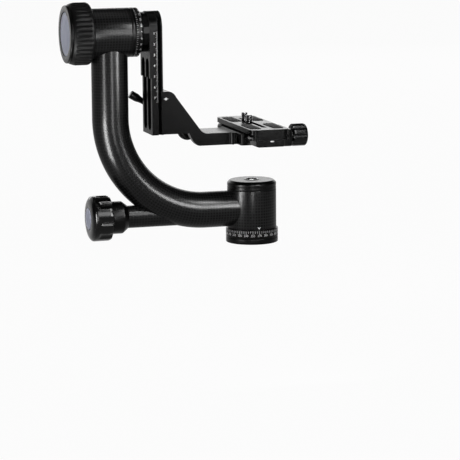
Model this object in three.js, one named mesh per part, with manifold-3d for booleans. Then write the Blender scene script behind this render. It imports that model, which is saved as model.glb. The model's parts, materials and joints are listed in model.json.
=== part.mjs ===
// Gimbal tripod head for long lenses. Millimetres, +Z up, +X to the right along the tilt axis,
// -Y towards the viewer. The origin lies on the pan axis in the plane of the base's underside.
import * as THREE from 'three';
import { mergeVertices } from 'three/addons/utils/BufferGeometryUtils.js';
import Module from 'manifold-3d';

const wasm = await Module();
wasm.setup();

// Clearances and facet counts shared by all pieces
const gap = 0.3;
const overrun = 4;
const weld = 0.0004;
const wideSides = 32;
const midSides = 20;
const slimSides = 14;
const screwSides = 8;
const curveSteps = 3;

// Pan housing and its spindle, which set the size of all that turns inside it
const panHousingRadius = 23.8;
const housingWall = 3;
const panHousingBore = panHousingRadius - housingWall;
const spindleShare = 5 / 14;
const spindleRadius = panHousingRadius * spindleShare;
const baseStep = 1.5;
const baseRadius = panHousingRadius + baseStep;

// Base that screws to the tripod
const footHeight = 5;
const footChamfer = 0.8;
const panRingTop = 13.7;
const panRingWall = 4.6;
const panRingChamfer = 0.5;
const bushRadius = 7.6;
const bushBoreRadius = 4.2;
const bushChamfer = 0.7;
const bushLength = 11.5;
const spindleFlangeRadius = 16;
const spindleFlangeThickness = 4.5;
const spindleShoulder = 2;
const baseScrewCircle = 12;
const baseScrewCount = 3;
const baseScrewRadius = 2;
const baseScrewHeadRadius = 3.4;
const baseScrewHeadHeight = 4.2;
const screwHole = 0.3;
const socketRadius = 1.5;
const socketDepth = 2.2;
const socketSides = 6;

// Ball bearings, one size for both axes
const bearingShare = 0.48;
const bearingBore = spindleRadius + gap;
const bearingWall = (panHousingBore - spindleRadius) * bearingShare;
const bearingWidth = 7;
const bearingChamfer = 0.8;
const bearingShoulder = 2.1;

// Pan housing's top, drum and cap
const panHousingTop = 51.6;
const drumShare = 0.23;
const drumWall = (panHousingBore - spindleRadius) * drumShare;
const lockRise = 4.7;
const drumLength = 13.4;
const nutWall = 4.2;
const nutHeight = 3.4;
const nutNotches = 4;
const nutNotchHalfWidth = 1.5;
const nutNotchDepth = 1.6;
const capHeight = 8.6;
const capBevel = 2.5;
const capSpigotDepth = 3.7;
const capSpigotWall = 2.9;
const capGrooveDepth = 0.6;
const capGrooveWidth = 0.8;
const capGrooveHeight = 2.5;
const levelPocketRadius = 7.5;
const levelPocketDepth = 6.2;
const levelRingWall = 1.8;
const levelRingRise = 0.5;
const levelDome = 0.9;

// Curved carbon arm and its branch
const armRadius = 17.4;
const armWall = 2.6;
const armX = -140;
const armFootHeight = 33.2;
const armBendRadius = 92.5;
const armSteps = 20;
const armSides = 28;
const branchRadius = 10.8;
const branchWall = 2.5;

// Pan lock at the end of the branch
const collarWall = 4.8;
const collarRadius = branchRadius + collarWall;
const collarBack = 14.4;
const collarLength = 16;
const collarBackX = armX + collarBack;
const collarFrontX = collarBackX - collarLength;
const collarChamfer = 5.2;
const collarSocketDepth = 8;
const lockKnobStep = 6.1;
const lockKnobRadius = collarRadius + lockKnobStep;
const lockKnobSlope = 6.9;
const lockKnobFaceRadius = lockKnobRadius - lockKnobSlope;
const lockKnobLength = 21.3;
const lockKnobFrontX = collarFrontX - gap - lockKnobLength;
const lockKnobDome = 3.2;
const lockKnobBackRound = 3.4;
const lockKnobHubRadius = 6;
const lockKnobHubLength = 5;
const lockKnobLobes = 8;
const lockKnobFluteRadius = 9;
const lockKnobFluteDepth = 1.5;
const lockKnobFluteLength = 12.6;
const lockDiscRim = 4.5;
const lockDiscRadius = lockKnobFaceRadius - lockDiscRim;
const lockDiscThickness = 1.3;
const lockDiscRise = 0.4;
const lockKnobWall = 1.2;
const lockTravel = 1;
const lockRodRadius = 3;
const shoeRadius = 4.5;
const shoeLength = 7;
const shoeSocketDepth = 3.5;

// Tilt housing and shaft
const tiltHeight = 207;
const tiltHousingStep = 0.4;
const tiltHousingRadius = panHousingRadius - tiltHousingStep;
const tiltHousingLeft = 18.7;
const tiltHousingRight = 17;
const tiltHousingLeftX = armX - tiltHousingLeft;
const tiltHousingRightX = armX + tiltHousingRight;
const tiltRimWidth = 3.1;
const tiltRimRound = 1;
const tiltRimSpigot = 5;
const tiltLinerInset = 3.7;
const tiltIndexWidth = 8;
const tiltIndexBevel = 3;
const tiltIndexBevelWidth = 2.3;
const tiltIndexChamfer = 0.4;
const hubStep = 4.4;
const hubRadius = tiltHousingRadius - hubStep;
const hubThickness = 5.7;
const brakeDiscThickness = 2.3;
const shaftThreadLength = 13.5;
const shaftChamfer = 1;

// Tilt lock knob
const knobLength = 23.7;
const knobFaceX = tiltHousingLeftX - gap - knobLength;
const knobFaceStep = 4;
const knobFaceRadius = tiltHousingRadius + knobFaceStep;
const knobFaceThickness = 2.3;
const knobFaceBevel = 1.2;
const knobCoreStep = 0.8;
const knobCoreRadius = tiltHousingRadius + knobCoreStep;
const knobGripStep = 2.1;
const knobGripRadius = knobFaceRadius + knobGripStep;
const knobGripShoulder = 3.2;
const knobGripRibs = 36;
const knobRibDepth = 0.7;
const knobFaceRim = 6.8;
const knobDiscRadius = knobFaceRadius - knobFaceRim;
const knobDiscThickness = 1.4;
const knobDiscRecess = 0.5;

// Hanging rail
const railHalfWidth = 17.5;
const railThickness = 6.2;
const railPadThickness = 1.6;
const railPadDrop = 43;
const railTopRise = 19.8;
const railHeadReach = 5.1;
const railHeadInset = 1.3;
const railHeadHalfWidth = railHalfWidth - railHeadInset;
const railNeckInset = 3.6;
const railNeckHalfWidth = railHeadHalfWidth - railNeckInset;
const railNeckLength = 1.2;
const railHeadEdge = 1.2;
const railRibHalfWidth = 1.8;
const railSideWall = 4.3;
const railSlotHalfWidth = (railHalfWidth - railRibHalfWidth - railSideWall) / 2;
const railSlotFoot = 4.1;
const railSlotDrop = 24.4;
const railSlotDepth = 5;
const railScrewCircle = 8;
const railScrewCount = 3;
const railScrewRadius = 2.5;
const railScrewHeadRadius = 4.2;
const railScrewHeadHeight = 4.6;
const stopScrewY = 8;
const stopHeadRadius = 3.2;
const stopHeadHeight = 2;
const stopShankRadius = 1.6;
const stopShankLength = 7;

// Cradle that climbs the rail
const cradleCheek = 2.5;
const cradleHalfWidth = railHalfWidth + cradleCheek;
const cradleWeb = 8;
const cradleRise = 41.6;
const cradleLipSetback = 2.5;
const cradleTopFlat = 6;
const cradleTopWidth = 14.6;
const cradleShoulderDrop = 6;
const cradleSlopeWidth = 22.1;
const cradleSlopeEndRise = 5.4;
const cradleSlopeRound = 5.2;
const gussetStep = 0.8;
const platformTop = 109.8;
const platformThickness = 11.6;
const kneeSetback = 9.8;
const kneeWidth = 10.5;
const kneeShare = 0.48;
const platformFlare = 4;
const cradleBackInset = 3.2;
const cradleBackY = railHeadHalfWidth - cradleBackInset;
const cradleWall = 3.1;
const pocketPastKnee = 4;
const pocketWall = 4.5;
const jawBackStep = 2.3;
const jawBackY = cradleHalfWidth + jawBackStep;
const jawPastKnee = 7.5;
const jawBossRadius = 7.5;

// Height clamp lever
const leverSetback = 0.3;
const leverDrop = 1.2;
const leverHubRadius = 9.9;
const leverHubLength = 12.4;
const leverHubRim = 4;
const leverHubNarrowing = 2.2;
const leverHubChamfer = 1;
const leverReach = 55.1;
const leverClimb = 36.4;
const leverLift = 3.5;
const leverTipRadius = 4;
const leverTipRound = 0.9;
const leverTipLength = 8;
const leverBarRadius = 2.7;
const leverRise = 7.8;
const studRadius = 3;
const studReach = 9;
const studGrip = 6;

// Quick release clamp
const clampFloorInset = 0.8;
const clampLipWall = 3.2;
const clampRoot = 2.4;
const clampFrontY = -60;
const clampBackY = 52;
const clampWing = 40;
const clampWingRound = 2.5;
const clampCorner = 5;
const clampBevelWidth = 7.4;
const clampBevelHeight = 2.8;
const clampRightInset = 3.3;
const clampRightCorner = 3;
const clampStep = 1;
const clampFloorThickness = 6.6;
const clampJawHeight = 4.5;
const jawReach = 16.7;
const jawBottomDrop = 8.1;
const jawChamfer = 1.5;
const jawRound = 3;
const clampScrewRise = 2.8;
const clampScrewRadius = 2.4;
const clampScrewReach = 30;
const guidePinRadius = 1.5;
const guidePinY = 6.3;
const guidePinLength = 22;
const clampBoltY = 13;
const clampBoltRadius = 2;
const clampBoltHeadRadius = 3;
const clampBoltHeadLength = 4;
const clampBoltGrip = 14;
const clampKnobLength = 15;
const clampKnobRadius = 10.9;
const clampKnobRound = 1.5;
const clampKnobLobes = 8;
const clampKnobFluteRadius = 3.6;
const clampKnobFluteDepth = 1.1;
const clampKnobNeckRadius = 7;
const clampKnobNeckLength = 3.7;

// Camera plate
const plateHalfWidth = 19;
const plateFrontY = -61.5;
const plateBackY = 56;
const plateThickness = 10;
const plateCorner = 6.5;
const plateLip = 1;
const plateNeck = 3.8;
const plateBand = 4.8;
const slotHalfWidth = 2.5;
const slotFrontY = -44;
const slotBackY = 36.5;
const slotWebThickness = 2.8;
const slotHeadHalfWidth = 6.3;
const padNearX = 5.9;
const padEdge = 2.6;
const padFarX = plateHalfWidth - padEdge;
const padFrontNearY = -16;
const padFrontFarY = -52;
const padBackNearY = 10.5;
const padBackFarY = 46.5;
const padThickness = 1.4;
const padRise = 0.5;
const padCorner = 3;
const screwPlaces = [22, 6.5];
const screwStands = [7.4, 6.5];
const cameraScrewRadius = 3.15;
const cameraScrewNeck = 2.1;
const cameraHeadRadius = 5.7;
const cameraHeadHeight = 4.3;
const washerThickness = 0.8;
const coinSlotWidth = 1.6;
const coinSlotDepth = 1.5;

// Heights and radii inside the pan housing
const spigotTop = panRingTop - footChamfer;
const spigotRadius = baseRadius - panRingWall - gap;
const spindleFlangeTop = spigotTop + gap + spindleFlangeThickness;
const lowerBearingZ = spindleFlangeTop + 2 * gap;
const drumBottom = lowerBearingZ + bearingWidth + gap;
const upperBearingZ = drumBottom + drumLength + gap;
const bearingRadius = bearingBore + bearingWall;
const bearingSeat = bearingRadius + gap;
const nutBottom = upperBearingZ + bearingWidth + gap;
const panHousingBottom = panRingTop + gap;
const capTop = panHousingTop + gap + capHeight;
const drumRadius = bearingBore + drumWall;
const lockHeight = drumBottom + lockRise;

// Heights that follow the platform, which carries the clamp and the plate
const platformBottom = platformTop - platformThickness;
const cradleTop = platformTop + cradleRise;
const gussetBottom = platformTop + gussetStep;
const leverHeight = platformTop - leverDrop;
const clampBottom = platformBottom + clampStep;
const clampFloor = clampBottom + clampFloorThickness;
const clampScrewHeight = clampBottom + clampScrewRise;
const plateTop = clampFloor + gap + plateThickness;

// Places along the tilt axis, from the housing to the rail, and heights of the rail
const tiltRimX = tiltHousingRightX + gap;
const tiltRimEndX = tiltRimX + tiltRimWidth;
const tiltRightBearingX = tiltRimX - gap - bearingWidth;
const tiltIndexX = tiltRimEndX + gap;
const tiltIndexEndX = tiltIndexX + tiltIndexWidth;
const hubX = tiltIndexEndX + gap;
const hubEndX = hubX + hubThickness;
const railPadX = hubEndX + gap;
const railLeftX = railPadX + railPadThickness;
const railFrontX = railLeftX + railThickness;
const railHeadX = railFrontX + railHeadReach;
const railBottom = gussetBottom - gussetStep;
const railSlotBottom = railBottom + railSlotFoot;
const railSlotTop = tiltHeight - railSlotDrop;
const railPadBottom = tiltHeight - railPadDrop;

// Places along the cradle, from the rail to the clamp
const cradleLipX = railFrontX + cradleLipSetback;
const cradleShoulderX = cradleLipX + cradleTopWidth;
const cradleWallX = cradleShoulderX + cradleWall;
const cradleSlopeEndX = cradleShoulderX + cradleSlopeWidth;
const kneeStartX = cradleSlopeEndX - kneeSetback;
const kneeEndX = kneeStartX + kneeWidth;
const pocketRightX = kneeEndX + pocketPastKnee;
const jawEndX = kneeEndX + jawPastKnee;
const leverX = kneeEndX - leverSetback;
const lipX = plateHalfWidth + gap;
const clampJawX = -lipX - clampLipWall;
const clampHalfFloor = lipX - clampFloorInset;
const clampRightX = lipX - clampRightInset;
const jawRightX = lipX + jawReach;
const platformEndX = clampJawX - clampRoot;

// Finishes
const carbon = { color: 0x24242a, roughness: 0.32, metalness: 0.1 };
const anodised = { color: 0x2b2a2e, roughness: 0.45, metalness: 0.6 };
const plainAluminium = { color: 0x9a9ba0, roughness: 0.4, metalness: 0.9 };
const steel = { color: 0xb4b5b8, roughness: 0.3, metalness: 1 };
const silverBlue = { color: 0xaab4c8, roughness: 0.3, metalness: 0.8 };
const rubber = { color: 0x1c1b1c, roughness: 0.85, metalness: 0 };
const blackPlastic = { color: 0x17171a, roughness: 0.5, metalness: 0 };
const brass = { color: 0xb08d4a, roughness: 0.35, metalness: 1 };
const levelFluid = { color: 0xb7c86a, roughness: 0.1, metalness: 0 };

// Solids from geometry
function toSolid(geometry) {
  const bare = geometry.clone();
  bare.deleteAttribute('normal');
  bare.deleteAttribute('uv');
  const merged = mergeVertices(bare, weld);
  const corners = merged.index.array;
  const kept = [];
  for (let i = 0; i < corners.length; i += 3) {
    const [a, b, c] = [corners[i], corners[i + 1], corners[i + 2]];
    if (a !== b && b !== c && c !== a) kept.push(a, b, c);
  }
  const points = Float32Array.from(merged.attributes.position.array);
  if (signedVolume(points, kept) < 0) kept.reverse();
  return new wasm.Manifold(new wasm.Mesh({
    numProp: 3,
    vertProperties: points,
    triVerts: Uint32Array.from(kept),
  }));
}

function signedVolume(points, corners) {
  const [p, q, r] = [new THREE.Vector3(), new THREE.Vector3(), new THREE.Vector3()];
  let sum = 0;
  for (let i = 0; i < corners.length; i += 3) {
    p.fromArray(points, 3 * corners[i]);
    q.fromArray(points, 3 * corners[i + 1]);
    r.fromArray(points, 3 * corners[i + 2]);
    sum += p.dot(q.cross(r));
  }
  return sum;
}

function fromSolid(solid) {
  const mesh = solid.getMesh();
  const geometry = new THREE.BufferGeometry();
  geometry.setAttribute('position', new THREE.BufferAttribute(Float32Array.from(mesh.vertProperties), 3));
  geometry.setIndex(new THREE.BufferAttribute(Uint32Array.from(mesh.triVerts), 1));
  geometry.computeVertexNormals();
  return geometry;
}

// A profile is a list of [radius, place along the axis]; off the axis it closes on itself
function revolve(axis, profile, sides) {
  const points = profile.map(([radius, along]) => new THREE.Vector2(radius, along));
  if (profile[0][0] !== 0) points.push(points[0].clone());
  const geometry = new THREE.LatheGeometry(points, sides);
  if (axis === 'x') geometry.rotateZ(-Math.PI / 2);
  if (axis === 'z') geometry.rotateX(Math.PI / 2);
  return toSolid(geometry);
}

function rod(axis, radius, from, to, sides) {
  return revolve(axis, [[0, from], [radius, from], [radius, to], [0, to]], sides);
}

function sleeve(axis, inner, outer, from, to, sides) {
  return revolve(axis, [[inner, from], [outer, from], [outer, to], [inner, to]], sides);
}

function block(x0, x1, y0, y1, z0, z1) {
  const geometry = new THREE.BoxGeometry(x1 - x0, y1 - y0, z1 - z0);
  geometry.translate((x0 + x1) / 2, (y0 + y1) / 2, (z0 + z1) / 2);
  return toSolid(geometry);
}

// The shape's x and y become: X and Y for a prism along z, X and Z along y, Y and Z along x
function prism(axis, shape, from, to) {
  const options = { depth: to - from, bevelEnabled: false, curveSegments: curveSteps };
  const geometry = new THREE.ExtrudeGeometry(shape, options);
  if (axis === 'z') geometry.translate(0, 0, from);
  if (axis === 'y') geometry.rotateX(Math.PI / 2).translate(0, to, 0);
  if (axis === 'x') {
    geometry.rotateX(Math.PI / 2).rotateZ(Math.PI / 2).translate(from, 0, 0);
  }
  return toSolid(geometry);
}

function polygon(points) {
  return new THREE.Shape(points.map(([x, y]) => new THREE.Vector2(x, y)));
}

function roundedRectangle(x0, x1, y0, y1, corner) {
  const shape = new THREE.Shape();
  const quarter = Math.PI / 2;
  shape.absarc(x1 - corner, y1 - corner, corner, 0, quarter);
  shape.absarc(x0 + corner, y1 - corner, corner, quarter, 2 * quarter);
  shape.absarc(x0 + corner, y0 + corner, corner, 2 * quarter, 3 * quarter);
  shape.absarc(x1 - corner, y0 + corner, corner, 3 * quarter, 4 * quarter);
  return shape;
}

function around(count, cutter, axis) {
  const copies = [];
  for (let i = 0; i < count; i += 1) {
    const angle = (360 * i) / count;
    const turn = { x: [angle, 0, 0], y: [0, angle, 0], z: [0, 0, angle] }[axis];
    copies.push(cutter.rotate(turn));
  }
  return copies;
}

function cutAll(solid, cutters) {
  return cutters.reduce((left, cutter) => left.subtract(cutter), solid);
}

// Head screw with a hexagon socket. Its head starts at headFrom and its shank ends at tip
function socketScrew(axis, headRadius, shankRadius, headFrom, headTo, tip) {
  const profile = [[0, headFrom], [headRadius, headFrom], [headRadius, headTo], [shankRadius, headTo],
    [shankRadius, tip], [0, tip]];
  const inward = Math.sign(tip - headFrom);
  const socket = revolve(axis, [[0, headFrom - inward * overrun], [socketRadius, headFrom - inward * overrun],
    [socketRadius, headFrom + inward * socketDepth], [0, headFrom + inward * socketDepth]], socketSides);
  return revolve(axis, profile, screwSides).subtract(socket);
}

// Scene graph
const head = new THREE.Group();
const tiltAxis = new THREE.Group();
const lockAxis = new THREE.Group();
const leverAxis = new THREE.Group();
const clampAxis = new THREE.Group();
tiltAxis.position.set(0, 0, tiltHeight);
lockAxis.position.set(0, 0, lockHeight);
leverAxis.position.set(leverX, 0, leverHeight);
clampAxis.position.set(0, 0, clampScrewHeight);
head.add(tiltAxis, lockAxis, leverAxis, clampAxis);

function place(name, solid, finish, parent = head) {
  const mesh = new THREE.Mesh(fromSolid(solid), new THREE.MeshStandardMaterial(finish));
  mesh.name = name;
  parent.add(mesh);
  return mesh;
}

// Base
function makeBase() {
  const bore = bushRadius + gap;
  const foot = revolve('z', [[bore, 0], [baseRadius - footChamfer, 0], [baseRadius, footChamfer],
    [baseRadius, footHeight], [spigotRadius, footHeight], [spigotRadius, spigotTop], [bore, spigotTop]],
    wideSides);
  const shank = rod('z', baseScrewRadius + screwHole, -overrun, spigotTop + overrun, screwSides);
  const pocket = rod('z', baseScrewHeadRadius + screwHole, -overrun, gap + baseScrewHeadHeight + gap,
    screwSides);
  const hole = shank.add(pocket).translate([baseScrewCircle, 0, 0]);
  place('base_flange', cutAll(foot, around(baseScrewCount, hole, 'z')), anodised);

  const ringBore = baseRadius - panRingWall;
  place('pan_index_ring', revolve('z', [[ringBore, footHeight + gap], [baseRadius, footHeight + gap],
    [baseRadius, panRingTop - panRingChamfer], [baseRadius - panRingChamfer, panRingTop],
    [ringBore, panRingTop]], wideSides), anodised);

  const bushBottom = gap;
  const bushTop = bushBottom + bushLength;
  place('thread_bush', revolve('z', [[bushBoreRadius + bushChamfer, bushBottom], [bushRadius, bushBottom],
    [bushRadius, bushTop], [bushBoreRadius, bushTop], [bushBoreRadius, bushBottom + bushChamfer]],
  slimSides), steel);

  const spindleBottom = spigotTop + gap;
  const shoulderTop = spindleFlangeTop + gap;
  const spindleTop = nutBottom + nutHeight;
  const spindle = revolve('z', [[0, spindleBottom], [spindleFlangeRadius, spindleBottom],
    [spindleFlangeRadius, spindleFlangeTop], [bearingBore + spindleShoulder, spindleFlangeTop],
    [bearingBore + spindleShoulder, shoulderTop], [spindleRadius, shoulderTop], [spindleRadius, spindleTop],
    [0, spindleTop]], midSides);
  const thread = rod('z', baseScrewRadius + screwHole, spindleBottom - overrun, spindleFlangeTop - gap,
    screwSides)
    .translate([baseScrewCircle, 0, 0]);
  place('pan_spindle', cutAll(spindle, around(baseScrewCount, thread, 'z')), steel);

  const screw = socketScrew('z', baseScrewHeadRadius, baseScrewRadius, gap, gap + baseScrewHeadHeight,
    spindleFlangeTop - 2 * gap).translate([baseScrewCircle, 0, 0]);
  around(baseScrewCount, screw, 'z').forEach((copy, i) => place(`spindle_screw_${i + 1}`, copy, steel));
}

// A sealed ball bearing, turned as one ring
function bearing(axis, from) {
  const to = from + bearingWidth;
  const edge = bearingRadius - bearingChamfer;
  return revolve(axis, [[bearingBore, from], [edge, from], [bearingRadius, from + bearingChamfer],
    [bearingRadius, to - bearingChamfer], [edge, to], [bearingBore, to]], midSides);
}

// Pan housing and what turns on the spindle
function makePanHousing() {
  place('pan_bearing_lower', bearing('z', lowerBearingZ), steel);
  place('pan_bearing_upper', bearing('z', upperBearingZ), steel);
  place('brake_drum', sleeve('z', bearingBore, drumRadius, drumBottom, drumBottom + drumLength, midSides),
    steel);
  const nutRadius = bearingBore + nutWall;
  const nut = sleeve('z', bearingBore, nutRadius, nutBottom, nutBottom + nutHeight, midSides);
  const notch = block(nutRadius - nutNotchDepth, nutRadius + overrun, -nutNotchHalfWidth, nutNotchHalfWidth,
    nutBottom - overrun, nutBottom + nutHeight + overrun);
  place('spindle_nut', cutAll(nut, around(nutNotches, notch, 'z')), steel);

  const side = rod('x', shoeRadius + gap, -panHousingRadius - overrun, 0, slimSides).translate([0, 0,
    lockHeight]);
  const shell = sleeve('z', panHousingBore, panHousingRadius, panHousingBottom, panHousingTop, wideSides);
  place('pan_housing', shell.subtract(side), carbon);

  const linerBore = bearingSeat - bearingShoulder;
  const linerRadius = panHousingBore - gap;
  const linerBottom = lowerBearingZ - gap;
  const linerTop = upperBearingZ + bearingWidth;
  const lowerShoulder = lowerBearingZ + bearingWidth + gap;
  const upperShoulder = upperBearingZ - gap;
  const liner = revolve('z', [[bearingSeat, linerBottom], [linerRadius, linerBottom], [linerRadius, linerTop],
    [bearingSeat, linerTop], [bearingSeat, upperShoulder], [linerBore, upperShoulder],
    [linerBore, lowerShoulder], [bearingSeat, lowerShoulder]], midSides);
  place('pan_liner', liner.subtract(side), plainAluminium);

  const capBottom = panHousingTop + gap;
  const grooveBottom = capBottom + capGrooveHeight;
  const spigot = linerRadius;
  const spigotBottom = capBottom - capSpigotDepth;
  place('pan_cap', revolve('z', [[0, capTop - levelPocketDepth], [levelPocketRadius,
    capTop - levelPocketDepth],
    [levelPocketRadius, capTop], [panHousingRadius - capBevel, capTop], [panHousingRadius, capTop - capBevel],
    [panHousingRadius, grooveBottom + capGrooveWidth],
    [panHousingRadius - capGrooveDepth, grooveBottom + capGrooveWidth],
    [panHousingRadius - capGrooveDepth, grooveBottom], [panHousingRadius, grooveBottom],
    [panHousingRadius, capBottom], [spigot, capBottom], [spigot, spigotBottom],
    [spigot - capSpigotWall, spigotBottom], [spigot - capSpigotWall, capBottom], [0, capBottom]], wideSides),
  anodised);

  const levelBottom = capTop - levelPocketDepth + gap;
  const ringOuter = levelPocketRadius - gap;
  const ringInner = ringOuter - levelRingWall;
  const vial = ringInner - gap;
  place('level_ring', sleeve('z', ringInner, ringOuter, levelBottom, capTop + levelRingRise, slimSides),
    blackPlastic);
  place('level_vial', revolve('z', [[0, levelBottom], [vial, levelBottom], [vial, capTop - levelDome],
    [vial / 2, capTop - levelDome / 4], [0, capTop]], slimSides), levelFluid);
}

// Centre line of the carbon arm, from the tilt axis down, round the bend and into the pan housing
function armCentreLine() {
  const line = new THREE.CurvePath();
  const bendX = armX + armBendRadius;
  const bendZ = armFootHeight + armBendRadius;
  line.add(new THREE.LineCurve3(new THREE.Vector3(armX, 0, tiltHeight), new THREE.Vector3(armX, 0, bendZ)));
  line.add(new ArmBend(bendX, bendZ));
  line.add(new THREE.LineCurve3(new THREE.Vector3(bendX, 0, armFootHeight),
    new THREE.Vector3(-panHousingRadius / 2, 0, armFootHeight)));
  return line;
}

class ArmBend extends THREE.Curve {
  constructor(x, z) {
    super();
    this.x = x;
    this.z = z;
  }

  getPoint(t, target = new THREE.Vector3()) {
    const angle = Math.PI + (t * Math.PI) / 2;
    return target.set(this.x + armBendRadius * Math.cos(angle), 0, this.z + armBendRadius * Math.sin(angle));
  }
}

function armRod(radius, sides) {
  const ring = [];
  for (let i = 0; i < sides; i += 1) {
    const angle = (2 * Math.PI * i) / sides;
    ring.push([radius * Math.cos(angle), radius * Math.sin(angle)]);
  }
  const options = { steps: armSteps, extrudePath: armCentreLine(), bevelEnabled: false };
  return toSolid(new THREE.ExtrudeGeometry(polygon(ring), options));
}

function makeArm() {
  const panCutter = rod('z', panHousingRadius + gap, -overrun, tiltHeight, wideSides);
  const tiltCutter = rod('x', tiltHousingRadius + gap, armX - 2 * armRadius, armX + 2 * armRadius, wideSides)
    .translate([0, 0, tiltHeight]);
  const branchBore = branchRadius - branchWall;
  const socketEnd = collarBackX - collarSocketDepth + gap;
  const junctionX = armX + armBendRadius - 2 * branchRadius;
  const bore = rod('x', branchBore, socketEnd, junctionX - branchRadius, slimSides).translate([0, 0,
    lockHeight]);
  const hollow = armRod(armRadius - armWall, slimSides);
  const tube = armRod(armRadius, armSides).subtract(hollow).subtract(bore);
  place('arm_tube', tube.subtract(panCutter).subtract(tiltCutter), carbon);

  const branch = rod('x', branchRadius, socketEnd, junctionX, midSides).translate([0, 0, lockHeight])
    .subtract(rod('x', branchBore, socketEnd - overrun, junctionX + overrun, slimSides).translate([0, 0,
    lockHeight]))
    .subtract(armRod(armRadius + gap, armSides));
  place('branch_tube', branch.decompose().sort((a, b) => b.volume() - a.volume())[0], carbon);
}

// Pan lock: knob turns in the collar and draws the rod with its brake shoe
function makePanLock() {
  const tube = branchRadius + gap;
  const socketX = collarBackX - collarSocketDepth;
  const rodRoom = lockKnobHubRadius + gap;
  place('branch_collar', revolve('x', [[rodRoom, collarFrontX], [collarRadius, collarFrontX],
    [collarRadius, collarBackX - collarChamfer], [tube + gap, collarBackX], [tube, collarBackX],
    [tube, socketX], [rodRoom, socketX]], midSides), anodised, lockAxis);

  const knobBackX = lockKnobFrontX + lockKnobLength;
  const faceX = lockKnobFrontX + lockKnobDome;
  const rodBore = lockRodRadius + gap;
  const hubEnd = knobBackX + lockKnobHubLength;
  const discSeat = lockKnobFrontX + lockDiscThickness + gap - lockDiscRise;
  const boreEnd = discSeat + lockKnobWall;
  const body = revolve('x', [[0, discSeat], [lockDiscRadius + gap, discSeat], [lockDiscRadius + gap,
    lockKnobFrontX],
    [lockKnobFaceRadius, lockKnobFrontX], [(lockKnobFaceRadius + lockKnobRadius) / 2,
    lockKnobFrontX + lockKnobDome / 4],
    [lockKnobRadius, faceX], [lockKnobRadius, knobBackX - lockKnobBackRound],
    [lockKnobRadius - lockKnobBackRound / 3, knobBackX - lockKnobBackRound / 3],
    [lockKnobRadius - lockKnobBackRound, knobBackX], [lockKnobHubRadius, knobBackX], [lockKnobHubRadius,
    hubEnd],
    [rodBore, hubEnd], [rodBore, boreEnd], [0, boreEnd]], wideSides);
  const flute = rod('x', lockKnobFluteRadius, knobBackX - lockKnobFluteLength,
    knobBackX + lockKnobHubLength, slimSides)
    .translate([0, 0, lockKnobRadius + lockKnobFluteRadius - lockKnobFluteDepth]);
  place('pan_lock_knob', cutAll(body, around(lockKnobLobes, flute, 'x')), anodised, lockAxis);
  place('pan_lock_disc', rod('x', lockDiscRadius, lockKnobFrontX - lockDiscRise, discSeat - gap, midSides),
    silverBlue, lockAxis);

  const shoeFace = -drumRadius - gap;
  const shoeBackX = shoeFace - shoeLength;
  const rodTip = shoeBackX + shoeSocketDepth - gap;
  place('pan_lock_rod', rod('x', lockRodRadius, boreEnd + gap + lockTravel, rodTip, slimSides), steel,
    lockAxis);
  const drum = rod('z', drumRadius + gap, -shoeRadius - overrun, shoeRadius + overrun, midSides);
  const socket = rod('x', lockRodRadius + gap, shoeBackX - overrun, shoeBackX + shoeSocketDepth, slimSides);
  const shoe = rod('x', shoeRadius, shoeBackX, -drumRadius / 2, slimSides).subtract(drum).subtract(socket);
  place('pan_brake_shoe', shoe, brass, lockAxis);
}

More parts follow.
